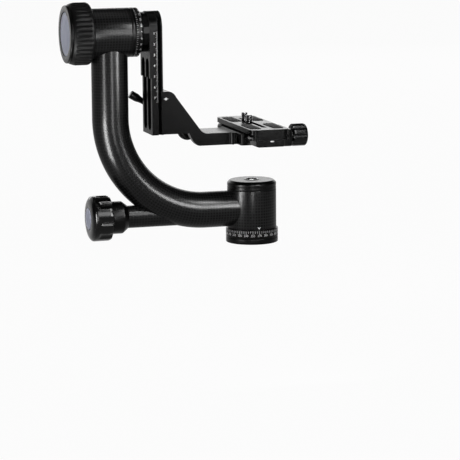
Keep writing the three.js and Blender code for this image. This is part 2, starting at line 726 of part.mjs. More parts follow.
// Tilt housing at the top of the arm, with bearings and shaft
function makeTiltHousing() {
  const bore = tiltHousingRadius - housingWall;
  const liner = bore - gap;
  place('tilt_housing', sleeve('x', bore, tiltHousingRadius, tiltHousingLeftX, tiltHousingRightX, wideSides),
    carbon, tiltAxis);

  const spigotX = tiltRimX - tiltRimSpigot;
  const rimBore = bearingSeat - bearingShoulder;
  place('tilt_rim', revolve('x', [[bearingSeat, spigotX], [liner, spigotX], [liner, tiltRimX],
    [tiltHousingRadius, tiltRimX], [tiltHousingRadius, tiltRimEndX - tiltRimRound],
    [tiltHousingRadius - tiltRimRound, tiltRimEndX], [rimBore, tiltRimEndX], [rimBore, tiltRimX],
    [bearingSeat, tiltRimX]], wideSides), anodised, tiltAxis);

  const linerLeft = tiltHousingLeftX + tiltLinerInset;
  const leftBearingX = linerLeft + gap;
  const linerRight = spigotX - gap;
  const leftShoulder = leftBearingX + bearingWidth + gap;
  const rightShoulder = tiltRightBearingX - gap;
  place('tilt_liner', revolve('x', [[bearingSeat, linerLeft], [liner, linerLeft], [liner, linerRight],
    [bearingSeat, linerRight], [bearingSeat, rightShoulder], [rimBore, rightShoulder],
    [rimBore, leftShoulder], [bearingSeat, leftShoulder]], midSides), plainAluminium, tiltAxis);
  place('tilt_bearing_left', bearing('x', leftBearingX), steel, tiltAxis);
  place('tilt_bearing_right', bearing('x', tiltRightBearingX), steel, tiltAxis);

  const neck = bearingBore + spindleShoulder;
  const discRightX = linerLeft - gap;
  const discLeftX = discRightX - brakeDiscThickness;
  const threadEnd = discLeftX - gap - shaftThreadLength;
  const shaft = revolve('x', [[0, threadEnd], [spindleRadius - shaftChamfer, threadEnd],
    [spindleRadius, threadEnd + shaftChamfer], [spindleRadius, tiltRimX], [neck, tiltRimX], [neck, hubX],
    [hubRadius, hubX], [hubRadius, hubEndX], [0, hubEndX]], midSides);
  const hole = rod('x', railScrewRadius + screwHole, hubX + gap, hubEndX + overrun, screwSides)
    .translate([0, 0, railScrewCircle]);
  place('tilt_shaft', cutAll(shaft, around(railScrewCount, hole, 'x')), anodised, tiltAxis);
  place('tilt_brake_disc', sleeve('x', bearingBore, bore - 2 * gap, discLeftX, discRightX, midSides),
    brass, tiltAxis);

  place('tilt_index_ring', revolve('x', [[neck + gap, tiltIndexX], [tiltHousingRadius - tiltIndexChamfer,
    tiltIndexX],
    [tiltHousingRadius, tiltIndexX + tiltIndexChamfer], [tiltHousingRadius,
    tiltIndexEndX - tiltIndexBevelWidth],
    [tiltHousingRadius - tiltIndexBevel, tiltIndexEndX], [neck + gap, tiltIndexEndX]], wideSides),
    anodised, tiltAxis);
  return discLeftX;
}

// Tilt lock knob on the threaded end of the shaft
function makeTiltKnob(discLeftX) {
  const noseX = discLeftX - gap;
  const coreBackX = tiltHousingLeftX - gap;
  const noseRadius = tiltHousingRadius - housingWall - 2 * gap;
  const plateX = knobFaceX + knobFaceThickness;
  const shaftRoom = spindleRadius + gap;
  const boreEnd = noseX - shaftThreadLength - gap - shaftChamfer;
  const seat = knobDiscRadius + gap;
  const seatX = knobFaceX + knobDiscRecess + knobDiscThickness + gap;
  place('tilt_knob_core', revolve('x', [[0, seatX], [seat, seatX], [seat, knobFaceX],
    [knobFaceRadius - knobFaceBevel, knobFaceX], [knobFaceRadius, knobFaceX + knobFaceBevel],
    [knobFaceRadius, plateX], [knobCoreRadius, plateX], [knobCoreRadius, coreBackX], [noseRadius, coreBackX],
    [noseRadius, noseX], [shaftRoom, noseX], [shaftRoom, boreEnd], [0, boreEnd]], wideSides), anodised,
    tiltAxis);
  place('tilt_knob_disc', rod('x', knobDiscRadius, knobFaceX + knobDiscRecess, seatX - gap, wideSides),
    silverBlue, tiltAxis);

  const gripX = plateX + gap;
  const gripBore = knobCoreRadius + gap;
  const sleeveBody = revolve('x', [[gripBore, gripX], [knobFaceRadius, gripX],
    [knobGripRadius - knobRibDepth, gripX + knobGripShoulder], [knobGripRadius, gripX + 2 * knobGripShoulder],
    [knobGripRadius, coreBackX - knobGripShoulder], [knobGripRadius - knobGripShoulder / 3,
    coreBackX - knobGripShoulder / 3],
    [knobGripRadius - knobGripShoulder, coreBackX], [gripBore, coreBackX]], knobGripRibs);
  place('tilt_knob_grip', sleeveBody, rubber, tiltAxis);
}

// Rail that hangs from the hub and carries the cradle
function makeRail() {
  const topZ = tiltHeight + railTopRise;
  const outline = (half, bottom) => {
    const shape = new THREE.Shape();
    shape.moveTo(-half, bottom);
    shape.lineTo(half, bottom);
    shape.absarc(0, topZ - half, half, 0, Math.PI);
    return shape;
  };
  const flank = (railHeadHalfWidth - railNeckHalfWidth);
  const neckX = railFrontX + railNeckLength;
  const headEdgeX = railHeadX - railHeadEdge;
  const wedgeSteps = headEdgeX - neckX;
  const section = polygon([[neckX, -railNeckHalfWidth], [headEdgeX, -railNeckHalfWidth - flank],
    [railHeadX, -railHeadHalfWidth], [railHeadX, railHeadHalfWidth], [headEdgeX, railHeadHalfWidth],
    [neckX, railNeckHalfWidth]]);
  const dovetail = prism('z', section, railBottom, topZ)
    .intersect(prism('x', outline(railHeadHalfWidth, railBottom), neckX - wedgeSteps, railHeadX + overrun));
  const neck = prism('x', outline(railNeckHalfWidth, railBottom), railFrontX - railThickness / 2, railHeadX);
  const body = prism('x', outline(railHalfWidth, railBottom), railLeftX, railFrontX);
  const pad = prism('x', outline(railHalfWidth, railPadBottom), railPadX, railLeftX + railThickness / 2);
  const slotCentre = railRibHalfWidth + railSlotHalfWidth;
  const slot = prism('x', roundedRectangle(-railSlotHalfWidth, railSlotHalfWidth, railSlotBottom, railSlotTop,
    railSlotHalfWidth), railPadX - overrun, railLeftX + railSlotDepth);
  const shank = rod('x', railScrewRadius + screwHole, railPadX - overrun, railHeadX + overrun, screwSides);
  const pocket = rod('x', railScrewHeadRadius + screwHole, railHeadX - railScrewHeadHeight - 2 * gap,
    railHeadX + overrun, screwSides);
  const hole = shank.add(pocket).translate([0, 0, railScrewCircle]);
  const holes = around(railScrewCount, hole, 'x').map((copy) => copy.translate([0, 0, tiltHeight]));
  const stopX = (neckX + railHeadX) / 2;
  const stopHole = rod('z', stopShankRadius + screwHole, railBottom - overrun,
    railBottom + stopShankLength + gap, screwSides).translate([stopX, stopScrewY, 0]);
  const rail = cutAll(body.add(pad).add(neck).add(dovetail), [slot.translate([0, slotCentre, 0]),
    slot.translate([0, -slotCentre, 0]), stopHole, ...holes]);
  place('swing_rail', rail, anodised);

  const screw = socketScrew('x', railScrewHeadRadius, railScrewRadius, railHeadX - gap,
    railHeadX - gap - railScrewHeadHeight, hubX + 2 * gap).translate([0, 0, railScrewCircle]);
  around(railScrewCount, screw, 'x').forEach((copy, i) => place(`rail_screw_${i + 1}`, copy, steel,
    tiltAxis));

  const stop = socketScrew('z', stopHeadRadius, stopShankRadius, railBottom - gap - stopHeadHeight,
    railBottom - gap, railBottom + stopShankLength).translate([stopX, stopScrewY, 0]);
  place('rail_stop_screw', stop, steel);
}

// Front view of the cradle: dovetail block, sloping gusset, knee and platform
function cradleOutline() {
  const slopeEndZ = platformTop + cradleSlopeEndRise;
  const shape = new THREE.Shape();
  shape.moveTo(cradleLipX, gussetBottom);
  shape.lineTo(kneeStartX, gussetBottom);
  shape.quadraticCurveTo(kneeStartX + kneeWidth * kneeShare, platformBottom, kneeEndX, platformBottom);
  shape.lineTo(platformEndX, platformBottom);
  shape.lineTo(platformEndX, platformTop);
  shape.lineTo(cradleSlopeEndX + cradleSlopeRound, platformTop);
  shape.quadraticCurveTo(cradleSlopeEndX + cradleSlopeEndRise / 2, platformTop, cradleSlopeEndX, slopeEndZ);
  shape.lineTo(cradleShoulderX, cradleTop - cradleShoulderDrop);
  shape.quadraticCurveTo(cradleShoulderX - cradleShoulderDrop / 2, cradleTop, cradleLipX + cradleTopFlat,
    cradleTop);
  shape.lineTo(cradleLipX, cradleTop);
  return shape;
}

function makeCradle() {
  const frontY = -cradleHalfWidth;
  const headEdgeX = railHeadX - railHeadEdge;
  const neckX = railFrontX + railNeckLength;
  const slotX = railHeadX + gap;
  const slope = (railHeadHalfWidth - railNeckHalfWidth) / (headEdgeX - neckX);
  const headY = railHeadHalfWidth + gap * Math.hypot(1, slope);
  const mouthX = cradleLipX - overrun;
  const mouthY = headY - slope * (headEdgeX - mouthX);
  const channel = prism('z', polygon([[mouthX, -mouthY], [headEdgeX, -headY], [slotX, -headY],
    [slotX, cradleBackY + overrun], [mouthX, cradleBackY + overrun]]), platformBottom, cradleTop + overrun);
  const slopeTopZ = cradleTop - cradleShoulderDrop;
  const slopeBottomZ = platformTop + cradleSlopeEndRise;
  const fall = (slopeTopZ - slopeBottomZ) / (cradleSlopeEndX - cradleShoulderX);
  const underSlope = (x) => slopeTopZ - (x - cradleShoulderX) * fall - pocketWall * Math.hypot(1, fall);
  const pocketKneeX = cradleSlopeEndX - pocketWall;
  const pocket = prism('y', polygon([[cradleWallX, platformBottom - overrun], [pocketRightX,
    platformBottom - overrun],
    [pocketRightX, platformTop - pocketWall], [pocketKneeX, underSlope(pocketKneeX)],
    [cradleWallX, underSlope(cradleWallX)]]), frontY + cradleWeb, cradleBackY + overrun);
  const web = prism('y', cradleOutline(), frontY, cradleBackY).subtract(channel).subtract(pocket);

  const flareY = cradleHalfWidth + platformFlare;
  const plan = new THREE.Shape();
  plan.moveTo(jawEndX + gap, -cradleHalfWidth);
  plan.lineTo(platformEndX - platformFlare, -cradleHalfWidth);
  plan.absarc(platformEndX - platformFlare, -flareY, platformFlare, Math.PI / 2, 0, true);
  plan.lineTo(platformEndX, flareY);
  plan.absarc(platformEndX - platformFlare, flareY, platformFlare, 0, -Math.PI / 2, true);
  plan.lineTo(jawEndX + gap, cradleHalfWidth);
  const platform = prism('z', plan, platformBottom, platformTop);
  const webBackY = frontY + cradleWeb;
  const stud = rod('y', studRadius + screwHole, webBackY - studGrip - gap, cradleBackY + overrun, slimSides)
    .translate([leverX, 0, leverHeight]);
  const bolt = rod('x', clampBoltRadius + screwHole, platformEndX - clampBoltGrip - gap,
    platformEndX + overrun, screwSides)
    .translate([0, 0, clampScrewHeight]);
  const cradle = cutAll(web.add(platform), [stud, bolt.translate([0, clampBoltY, 0]),
    bolt.translate([0, -clampBoltY, 0])]);
  place('cradle', cradle, anodised);

  const jawY = cradleBackY + gap;
  const backLipY = headY - slope * (headEdgeX - cradleLipX);
  const jawBoss = rod('y', jawBossRadius, jawY, jawBackY, midSides).translate([leverX, 0, leverHeight]);
  const jawPlan = prism('z', polygon([[cradleLipX, backLipY], [headEdgeX, headY], [slotX, headY], [slotX,
    jawY],
    [jawEndX, jawY], [jawEndX, jawBackY], [cradleLipX, jawBackY]]), gussetBottom, cradleTop + overrun);
  const jawHole = rod('y', studRadius + 2 * screwHole, jawY - overrun, jawBackY + overrun, slimSides)
    .translate([leverX, 0, leverHeight]);
  const jaw = prism('y', cradleOutline(), jawY - gap, jawBackY + overrun).intersect(jawPlan).add(jawBoss)
    .subtract(jawHole);
  place('height_jaw', jaw, anodised);
}

// Clamp lever behind the cradle: a hub with a stud and a tapered handle
function makeLever() {
  const hubY = jawBackY + gap;
  const hubEndY = hubY + leverHubLength;
  const bore = studRadius + gap;
  const studEnd = hubY + studReach;
  const innerRadius = leverHubRadius - leverHubNarrowing;
  const rimEndY = hubY + leverHubRim;
  const hub = revolve('y', [[0, hubY], [leverHubRadius, hubY], [leverHubRadius, rimEndY - leverHubChamfer],
    [leverHubRadius - leverHubChamfer, rimEndY], [innerRadius, rimEndY + leverHubNarrowing],
    [innerRadius, hubEndY - leverHubChamfer], [innerRadius - leverHubChamfer, hubEndY], [0, hubEndY]],
    midSides);
  const run = -leverReach;
  const climb = leverClimb - leverLift;
  const reach = Math.hypot(run, climb);
  const waist = reach - leverTipLength;
  const tilt = THREE.MathUtils.radToDeg(Math.atan2(run, climb));
  const bar = revolve('z', [[0, 0], [leverBarRadius, 0], [leverBarRadius, waist - leverTipRadius],
    [leverTipRadius, waist], [leverTipRadius, reach - leverTipRound], [leverTipRadius - leverTipRound, reach],
    [0, reach]], slimSides).rotate([0, tilt, 0]).translate([0, hubY + leverRise, leverLift]);
  const room = rod('y', bore, hubY - overrun, studEnd + gap, slimSides);
  place('height_lever', hub.add(bar).subtract(room), blackPlastic, leverAxis);
  const studStart = cradleWeb - cradleHalfWidth - studGrip;
  place('lever_stud', rod('y', studRadius, studStart, studEnd, slimSides), steel, leverAxis);
}

// Clamp body on the end of the platform
const hookTop = clampFloor + clampJawHeight;
const hookStart = clampFloor + plateLip + gap * Math.SQRT2;
const hookX = lipX - (hookTop - hookStart);

function makeClamp() {
  const plan = polygon([[clampRightX - clampRightCorner, clampFrontY], [clampRightX,
    clampFrontY + clampRightCorner],
    [clampRightX, clampBackY - clampRightCorner], [clampRightX - clampRightCorner, clampBackY],
    [clampCorner - clampHalfFloor, clampBackY], [-clampHalfFloor, clampBackY - clampCorner],
    [-clampHalfFloor, clampFrontY + clampCorner], [clampCorner - clampHalfFloor, clampFrontY]]);
  const floor = prism('z', plan, clampBottom, clampFloor);
  const seam = platformEndX + gap;
  const wing = prism('z', roundedRectangle(clampJawX, 0, -clampWing, clampWing, clampWingRound),
    clampBottom, hookTop);
  const root = block(seam, 0, -cradleHalfWidth - platformFlare, cradleHalfWidth + platformFlare,
    clampBottom, platformTop);
  const rib = block(seam, clampRightX, -cradleHalfWidth, cradleHalfWidth, platformBottom, clampFloor);
  const channel = prism('y', polygon([[-lipX, clampFloor], [overrun, clampFloor], [overrun,
    hookTop + overrun],
    [-hookX, hookTop + overrun], [-hookX, hookTop], [-lipX, hookStart]]),
  -clampWing - overrun, clampWing + overrun);
  const screwRoom = rod('x', clampScrewRadius + gap, clampRightX - clampScrewReach, clampRightX + overrun,
    slimSides)
    .translate([0, 0, clampScrewHeight]);
  const pinRoom = rod('x', guidePinRadius + gap, clampRightX - guidePinLength / 2 - gap,
    clampRightX + overrun, screwSides)
    .translate([0, guidePinY, clampScrewHeight]);
  const headX = clampRightX - clampBoltHeadLength - gap;
  const boltRoom = rod('x', clampBoltRadius + screwHole, seam - overrun, clampRightX + overrun, screwSides)
    .add(rod('x', clampBoltHeadRadius + screwHole, headX - gap, clampRightX + overrun, screwSides))
    .translate([0, clampBoltY, clampScrewHeight]);
  const bevel = prism('y', polygon([[-clampHalfFloor - overrun, clampBottom - overrun],
    [clampBevelWidth - clampHalfFloor, clampBottom - overrun], [clampBevelWidth - clampHalfFloor,
    clampBottom],
    [-clampHalfFloor, clampBottom + clampBevelHeight], [-clampHalfFloor - overrun,
    clampBottom + clampBevelHeight]]),
  clampWing, clampWing - clampFrontY);
  const mirrored = (cutter) => [cutter, cutter.mirror([0, 1, 0])];
  const body = cutAll(floor.add(wing).add(root).add(rib), [channel, screwRoom, ...mirrored(pinRoom),
    ...mirrored(boltRoom), ...mirrored(bevel)]);
  place('clamp_body', body, anodised);

  const bolt = socketScrew('x', clampBoltHeadRadius, clampBoltRadius, clampRightX - gap, headX,
    platformEndX - clampBoltGrip);
  place('clamp_bolt_front', bolt.translate([0, -clampBoltY, 0]), steel, clampAxis);
  place('clamp_bolt_rear', bolt.translate([0, clampBoltY, 0]), steel, clampAxis);

  const innerX = clampRightX + gap;
  const jawBottom = clampScrewHeight - jawBottomDrop;
  const jawShape = polygon([[innerX, jawBottom], [jawRightX - jawChamfer, jawBottom], [jawRightX,
    jawBottom + jawChamfer],
    [jawRightX, hookTop - jawChamfer], [jawRightX - jawChamfer, hookTop], [hookX, hookTop],
    [lipX, hookStart], [lipX, clampFloor], [innerX, clampFloor]]);
  const jawScrewRoom = rod('x', clampScrewRadius + gap, innerX - overrun, jawRightX + overrun, slimSides)
    .translate([0, 0, clampScrewHeight]);
  const jawPinRoom = rod('x', guidePinRadius + gap, innerX - overrun, innerX + guidePinLength / 2 + gap,
    screwSides)
    .translate([0, guidePinY, clampScrewHeight]);
  const jawOutline = prism('z', roundedRectangle(hookX - jawRound, jawRightX, -cradleHalfWidth,
    cradleHalfWidth,
    jawRound), jawBottom, hookTop);
  const jaw = cutAll(prism('y', jawShape, -cradleHalfWidth, cradleHalfWidth).intersect(jawOutline),
    [jawScrewRoom, ...mirrored(jawPinRoom)]);
  place('clamp_jaw', jaw, anodised);

  const pin = rod('x', guidePinRadius, clampRightX - guidePinLength / 2, innerX + guidePinLength / 2,
    screwSides);
  place('jaw_guide_pin_front', pin.translate([0, -guidePinY, 0]), steel, clampAxis);
  place('jaw_guide_pin_rear', pin.translate([0, guidePinY, 0]), steel, clampAxis);
}

function makeClampKnob() {
  const neckX = jawRightX + gap;
  const clampKnobLeftX = neckX + clampKnobNeckLength;
  const endX = clampKnobLeftX + clampKnobLength;
  const bore = clampScrewRadius + gap;
  const boreEnd = clampKnobLeftX + clampKnobLength / 2;
  const edge = clampKnobRadius - clampKnobRound;
  const body = revolve('x', [[bore, neckX], [clampKnobNeckRadius, neckX], [clampKnobNeckRadius,
    clampKnobLeftX],
    [edge, clampKnobLeftX], [clampKnobRadius, clampKnobLeftX + clampKnobRound],
    [clampKnobRadius, endX - clampKnobRound], [edge, endX], [0, endX], [0, boreEnd], [bore, boreEnd]]
    .reverse(), wideSides);
  const flute = rod('x', clampKnobFluteRadius, clampKnobLeftX - gap, endX + overrun, screwSides)
    .translate([0, 0, clampKnobRadius + clampKnobFluteRadius - clampKnobFluteDepth]);
  place('clamp_knob', cutAll(body, around(clampKnobLobes, flute, 'x')), blackPlastic, clampAxis);
  place('clamp_screw', rod('x', clampScrewRadius, clampRightX - clampScrewReach + gap, boreEnd - gap,
    slimSides),
    steel, clampAxis);
}

// Camera plate with its pads and screws
function makePlate() {
  const bottom = plateTop - plateThickness;
  const flankTop = bottom + plateLip + plateNeck;
  const neckX = plateHalfWidth - plateNeck;
  const half = [[plateHalfWidth, bottom], [plateHalfWidth, bottom + plateLip], [neckX, flankTop],
    [neckX, plateTop - plateBand], [plateHalfWidth, plateTop - plateBand], [plateHalfWidth, plateTop]];
  const section = polygon([...half, ...half.map(([x, z]) => [-x, z]).reverse()]);
  const inX = plateHalfWidth - plateCorner;
  const plan = polygon([[-inX, plateFrontY], [inX, plateFrontY], [plateHalfWidth, plateFrontY + plateCorner],
    [plateHalfWidth, plateBackY - plateCorner], [inX, plateBackY], [-inX, plateBackY],
    [-plateHalfWidth, plateBackY - plateCorner], [-plateHalfWidth, plateFrontY + plateCorner]]);
  const slot = prism('z', roundedRectangle(-slotHalfWidth, slotHalfWidth, slotFrontY, slotBackY,
    slotHalfWidth),
    bottom - overrun, plateTop + overrun);
  const headRoom = prism('z', roundedRectangle(-slotHeadHalfWidth, slotHeadHalfWidth, slotFrontY, slotBackY,
    slotHeadHalfWidth), bottom - overrun, plateTop - slotWebThickness);
  const padBottom = plateTop + padRise - padThickness;
  const padSpots = [];
  for (const side of [-1, 1]) {
    const [x0, x1] = [side * padNearX, side * padFarX].sort((a, b) => a - b);
    padSpots.push([x0, x1, padFrontFarY, padFrontNearY], [x0, x1, padBackNearY, padBackFarY]);
  }
  const recesses = padSpots.map(([x0, x1, y0, y1]) => prism('z', roundedRectangle(x0 - gap, x1 + gap,
    y0 - gap,
    y1 + gap, padCorner + gap), padBottom - gap, plateTop + overrun));
  const plate = prism('y', section, plateFrontY, plateBackY)
    .intersect(prism('z', plan, bottom, plateTop));
  place('camera_plate', cutAll(plate, [slot, headRoom, ...recesses]), anodised);
  padSpots.forEach(([x0, x1, y0, y1], i) => place(`plate_pad_${i + 1}`,
    prism('z', roundedRectangle(x0, x1, y0, y1, padCorner), padBottom, plateTop + padRise), rubber));

  const washerTop = plateTop - slotWebThickness - gap;
  const washerBottom = washerTop - washerThickness;
  const headTop = washerBottom - gap;
  const headBottom = headTop - cameraHeadHeight;
  screwPlaces.forEach((y, i) => {
    const washer = sleeve('z', cameraScrewNeck + gap, cameraHeadRadius, washerBottom, washerTop, slimSides);
    place(`slot_washer_${i + 1}`, washer.translate([0, y, 0]), blackPlastic);
    const threadBottom = plateTop + gap;
    const stand = plateTop + screwStands[i];
    const screw = revolve('z', [[0, headBottom], [cameraHeadRadius, headBottom], [cameraHeadRadius, headTop],
      [cameraScrewNeck, headTop], [cameraScrewNeck, threadBottom], [cameraScrewRadius, threadBottom],
      [cameraScrewRadius, stand - cameraScrewNeck / 4], [cameraScrewRadius - cameraScrewNeck / 4, stand],
      [0, stand]],
    slimSides);
    const coin = block(-coinSlotWidth / 2, coinSlotWidth / 2, -cameraHeadRadius - gap, cameraHeadRadius + gap,
      headBottom - overrun, headBottom + coinSlotDepth);
    place(`camera_screw_${i + 1}`, screw.subtract(coin).translate([0, y, 0]), steel);
  });
}

makeBase();
makePanHousing();
makeArm();
makePanLock();
makeTiltKnob(makeTiltHousing());
makeRail();
makeCradle();
makeLever();
makeClamp();
makeClampKnob();
makePlate();

export default head;
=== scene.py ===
"""Looks of a gimbal tripod head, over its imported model. Sizes are in millimetres until a piece is made."""

import json
import math

import bmesh
import bpy
from mathutils import Matrix, Vector

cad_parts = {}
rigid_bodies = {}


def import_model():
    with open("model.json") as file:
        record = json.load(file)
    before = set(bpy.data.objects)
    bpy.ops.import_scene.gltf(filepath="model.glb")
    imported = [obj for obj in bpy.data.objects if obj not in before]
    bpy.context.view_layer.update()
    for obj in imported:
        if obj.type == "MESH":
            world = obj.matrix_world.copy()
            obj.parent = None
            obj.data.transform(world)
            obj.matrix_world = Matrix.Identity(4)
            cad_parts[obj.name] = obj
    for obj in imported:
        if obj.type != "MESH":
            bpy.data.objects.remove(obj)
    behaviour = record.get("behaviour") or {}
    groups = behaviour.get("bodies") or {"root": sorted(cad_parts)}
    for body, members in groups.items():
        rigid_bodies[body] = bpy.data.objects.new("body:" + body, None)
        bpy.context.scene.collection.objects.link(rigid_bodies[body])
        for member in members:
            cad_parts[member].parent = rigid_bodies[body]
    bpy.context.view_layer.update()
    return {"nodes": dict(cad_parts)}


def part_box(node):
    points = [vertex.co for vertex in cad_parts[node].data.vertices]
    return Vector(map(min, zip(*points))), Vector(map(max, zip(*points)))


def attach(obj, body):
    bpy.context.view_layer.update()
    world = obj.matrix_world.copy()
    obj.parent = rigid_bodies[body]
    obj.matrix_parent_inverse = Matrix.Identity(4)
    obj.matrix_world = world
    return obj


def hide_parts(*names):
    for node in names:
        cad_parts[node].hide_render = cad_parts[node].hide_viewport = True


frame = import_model()

MM = 0.001
ORIGIN = (0, 0, 0)
# Room that the model leaves between two solids
GAP = 0.3
# Flat sides of a round form
SIDES = 96
SMALL_SIDES = 48
# Width of one carbon tow, and thickness of a housing's carbon shell
TOW = 2.8
CARBON_WALL = 3
# Height of printed marks, half of it sunk in the surface
MARK_DEPTH = 0.06


# Sizes read from the frame, in millimetres
def box(node):
    """Lowest and highest corners of a CAD node."""
    low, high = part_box(node)
    return low / MM, high / MM


def middle(node):
    low, high = box(node)
    return (low + high) / 2


def radius_of(node):
    """Radius of a node that is round about a line along X."""
    low, high = box(node)
    return (high.y - low.y) / 2


def body_of(node):
    return frame["nodes"][node].parent.name.split(":")[1]


TILT_Z = middle("tilt_housing").z
TILT_AXIS = (0, 0, TILT_Z)
TILT_RADIUS = radius_of("tilt_housing")
LOCK_AXIS = (0, 0, middle("pan_lock_knob").z)
PAN_RADIUS = box("pan_housing")[1].x

# The rail's dovetail, and the room that cradle and jaw leave round it
RAIL_HEAD = box("swing_rail")[1].x
SLOT_X = RAIL_HEAD + GAP
EDGE_X = RAIL_HEAD - 1.2
NECK_X = RAIL_HEAD - 3.9
HEAD_HALF, NECK_HALF = 16.2, 12.6
FLANK_SLOPE = (HEAD_HALF - NECK_HALF) / (EDGE_X - NECK_X)
HEAD_Y = HEAD_HALF + GAP * math.hypot(1, FLANK_SLOPE)


def evenly(start, end, count):
    """Values from start to end in so many equal steps, both ends among them."""
    return [start + (end - start) * k / count for k in range(count + 1)]


# Outlines
def curve(start, control, end, steps=10):
    start, control, end = Vector(start), Vector(control), Vector(end)
    return [start.lerp(control, t).lerp(control.lerp(end, t), t) for t in evenly(0, 1, steps)]


def rounded(corners, steps=4):
    """Outline of corners (x, y, round); a round is a curve that starts so far before its corner."""
    points = []
    for i, (x, y, reach) in enumerate(corners):
        here = Vector((x, y))
        if not reach:
            points.append(here)
            continue
        before = Vector(corners[i - 1][:2])
        after = Vector(corners[(i + 1) % len(corners)][:2])
        start = here + (before - here).normalized() * reach
        end = here + (after - here).normalized() * reach
        points += curve(start, here, end, steps)
    return points


def polygon(*corners):
    """Outline of corners (x, y), or (x, y, round)."""
    return rounded([corner if len(corner) == 3 else (*corner, 0) for corner in corners])


def mirrored(*corners):
    """The corners followed by their mirror images, on the other side of x = 0."""
    return [*corners, *((-x, *rest) for x, *rest in reversed(corners))]


def arc(x, y, radius, start, end, steps):
    """Points of an arc round (x, y), between two angles in degrees."""
    points = []
    for degrees in evenly(start, end, steps):
        angle = math.radians(degrees)
        points.append(Vector((x + radius * math.cos(angle), y + radius * math.sin(angle))))
    return points


def rectangle(x0, x1, y0, y1, corner=0):
    if not corner:
        return polygon((x0, y0), (x1, y0), (x1, y1), (x0, y1))
    left, right = x0 + corner, x1 - corner
    low, high = y0 + corner, y1 - corner
    points = []
    for i, (x, y) in enumerate([(right, high), (left, high), (left, low), (right, low)]):
        points += arc(x, y, corner, 90 * i, 90 * i + 90, 8)
    return points


def band(inner, outer, start, end, rounds=(0, 0, 0, 0)):
    """Section of a ring or disc: its inner and outer corner at the start, then those at the end."""
    places = [(inner, start), (outer, start), (outer, end), (inner, end)]
    return [(*place, reach) for place, reach in zip(places, rounds)]


# Forms as bmesh, with texture coordinates in millimetres
def on_axis(axis, centre, radius, angle, along):
    side = radius * math.cos(angle)
    rise = radius * math.sin(angle)
    offset = {"x": (along, side, rise), "y": (rise, along, side), "z": (side, rise, along)}[axis]
    return Vector(centre) + Vector(offset)


def whole_tows(radius):
    """The circumference rounded to whole pairs of carbon tows, so that the weave meets itself."""
    return 2 * TOW * round(math.pi * radius / TOW)


def textured_face(bm, uv, corners):
    """Face of (vertex, texture place) corners; a vertex that comes twice is taken once."""
    kept = {}
    for vert, place in corners:
        kept.setdefault(vert, place)
    face = bm.faces.new(list(kept))
    for loop, place in zip(face.loops, kept.values()):
        loop[uv].uv = place


def skinned(bm, rings, lengths, circumference):
    """Faces between neighbouring rings of vertices, each at its length along the texture."""
    uv = bm.loops.layers.uv.new("UVMap")
    sides = len(rings[0])
    for k in range(len(rings) - 1):
        lower = rings[k]
        upper = rings[k + 1]
        if lower[0] == lower[1] and upper[0] == upper[1]:
            continue
        for i in range(sides):
            j = (i + 1) % sides
            start = i * circumference / sides
            end = (i + 1) * circumference / sides
            near = [(lower[i], (start, lengths[k])), (lower[j], (end, lengths[k]))]
            far = [(upper[j], (end, lengths[k + 1])), (upper[i], (start, lengths[k + 1]))]
            textured_face(bm, uv, near + far)


def turned(axis, centre, corners, sides=SIDES, ripple=None):
    """A form turned about an axis from corners (radius, along, round); ripple changes a radius."""
    profile = rounded(corners)
    bm = bmesh.new()
    rings = []
    lengths = [0]
    for k, point in enumerate(profile):
        after = profile[(k + 1) % len(profile)]
        lengths.append(lengths[-1] + (after - point).length)
        if point.x < 1e-6:
            rings.append([bm.verts.new(on_axis(axis, centre, 0, 0, point.y))] * sides)
            continue
        ring = []
        for i in range(sides):
            angle = 2 * math.pi * i / sides
            radius = ripple(angle, point.y, point.x) if ripple else point.x
            ring.append(bm.verts.new(on_axis(axis, centre, radius, angle, point.y)))
        rings.append(ring)
    widest = max(point.x for point in profile)
    skinned(bm, rings + rings[:1], lengths, whole_tows(widest))
    return bm


def rod(axis, centre, radius, start, end, sides=SIDES):
    return turned(axis, centre, band(0, radius, start, end), sides)


def lofted(axis, sections):
    """Solid through outlines of as many corners, given as (place along the axis, outline)."""
    bm = bmesh.new()
    rows = []
    for along, outline in sections:
        row = []
        for point in outline:
            place = [point.x, point.y]
            place.insert("xyz".index(axis), along)
            row.append(bm.verts.new(place))
        rows.append(row)
    bm.faces.new(rows[0])
    bm.faces.new(rows[-1][::-1])
    for low, high in zip(rows, rows[1:]):
        for i in range(len(low)):
            j = (i + 1) % len(low)
            bm.faces.new([low[i], high[i], high[j], low[j]])
    bmesh.ops.recalc_face_normals(bm, faces=bm.faces)
    return bm


def prism(axis, outline, start, end):
    """Outline x and y become Y and Z along x, X and Z along y, and X and Y along z."""
    return lofted(axis, [(start, outline), (end, outline)])


def brick(x0, x1, y0, y1, z0, z1):
    return prism("z", rectangle(x0, x1, y0, y1), z0, z1)


# Meshes and booleans
def add_object(name, data):
    made = bpy.data.objects.new(name, data)
    bpy.context.scene.collection.objects.link(made)
    return made


def mesh_of(name, bm):
    """Mesh of a form with its faces turned outward; the form is used up."""
    bmesh.ops.recalc_face_normals(bm, faces=bm.faces)
    mesh = bpy.data.meshes.new(name)
    bm.to_mesh(mesh)
    bm.free()
    return mesh


def combined(base, operation, tools):
    """The base form with every tool joined to it, cut from it or meeting it."""
    objects = [add_object("scratch", mesh_of("scratch", bm)) for bm in (base, *tools)]
    whole, *others = objects
    for other in others:
        modifier = whole.modifiers.new("combine", "BOOLEAN")
        modifier.operation = operation
        modifier.object = other
        modifier.solver = "EXACT"
    result = bmesh.new()
    result.from_object(whole, bpy.context.evaluated_depsgraph_get())
    for made in objects:
        bpy.data.objects.remove(made)
    bmesh.ops.remove_doubles(result, verts=result.verts, dist=1e-4)
    return result


def joined(base, *tools):
    return combined(base, "UNION", tools)


def cut(base, *tools):
    return combined(base, "DIFFERENCE", tools)


def meeting(base, *tools):
    return combined(base, "INTERSECT", tools)


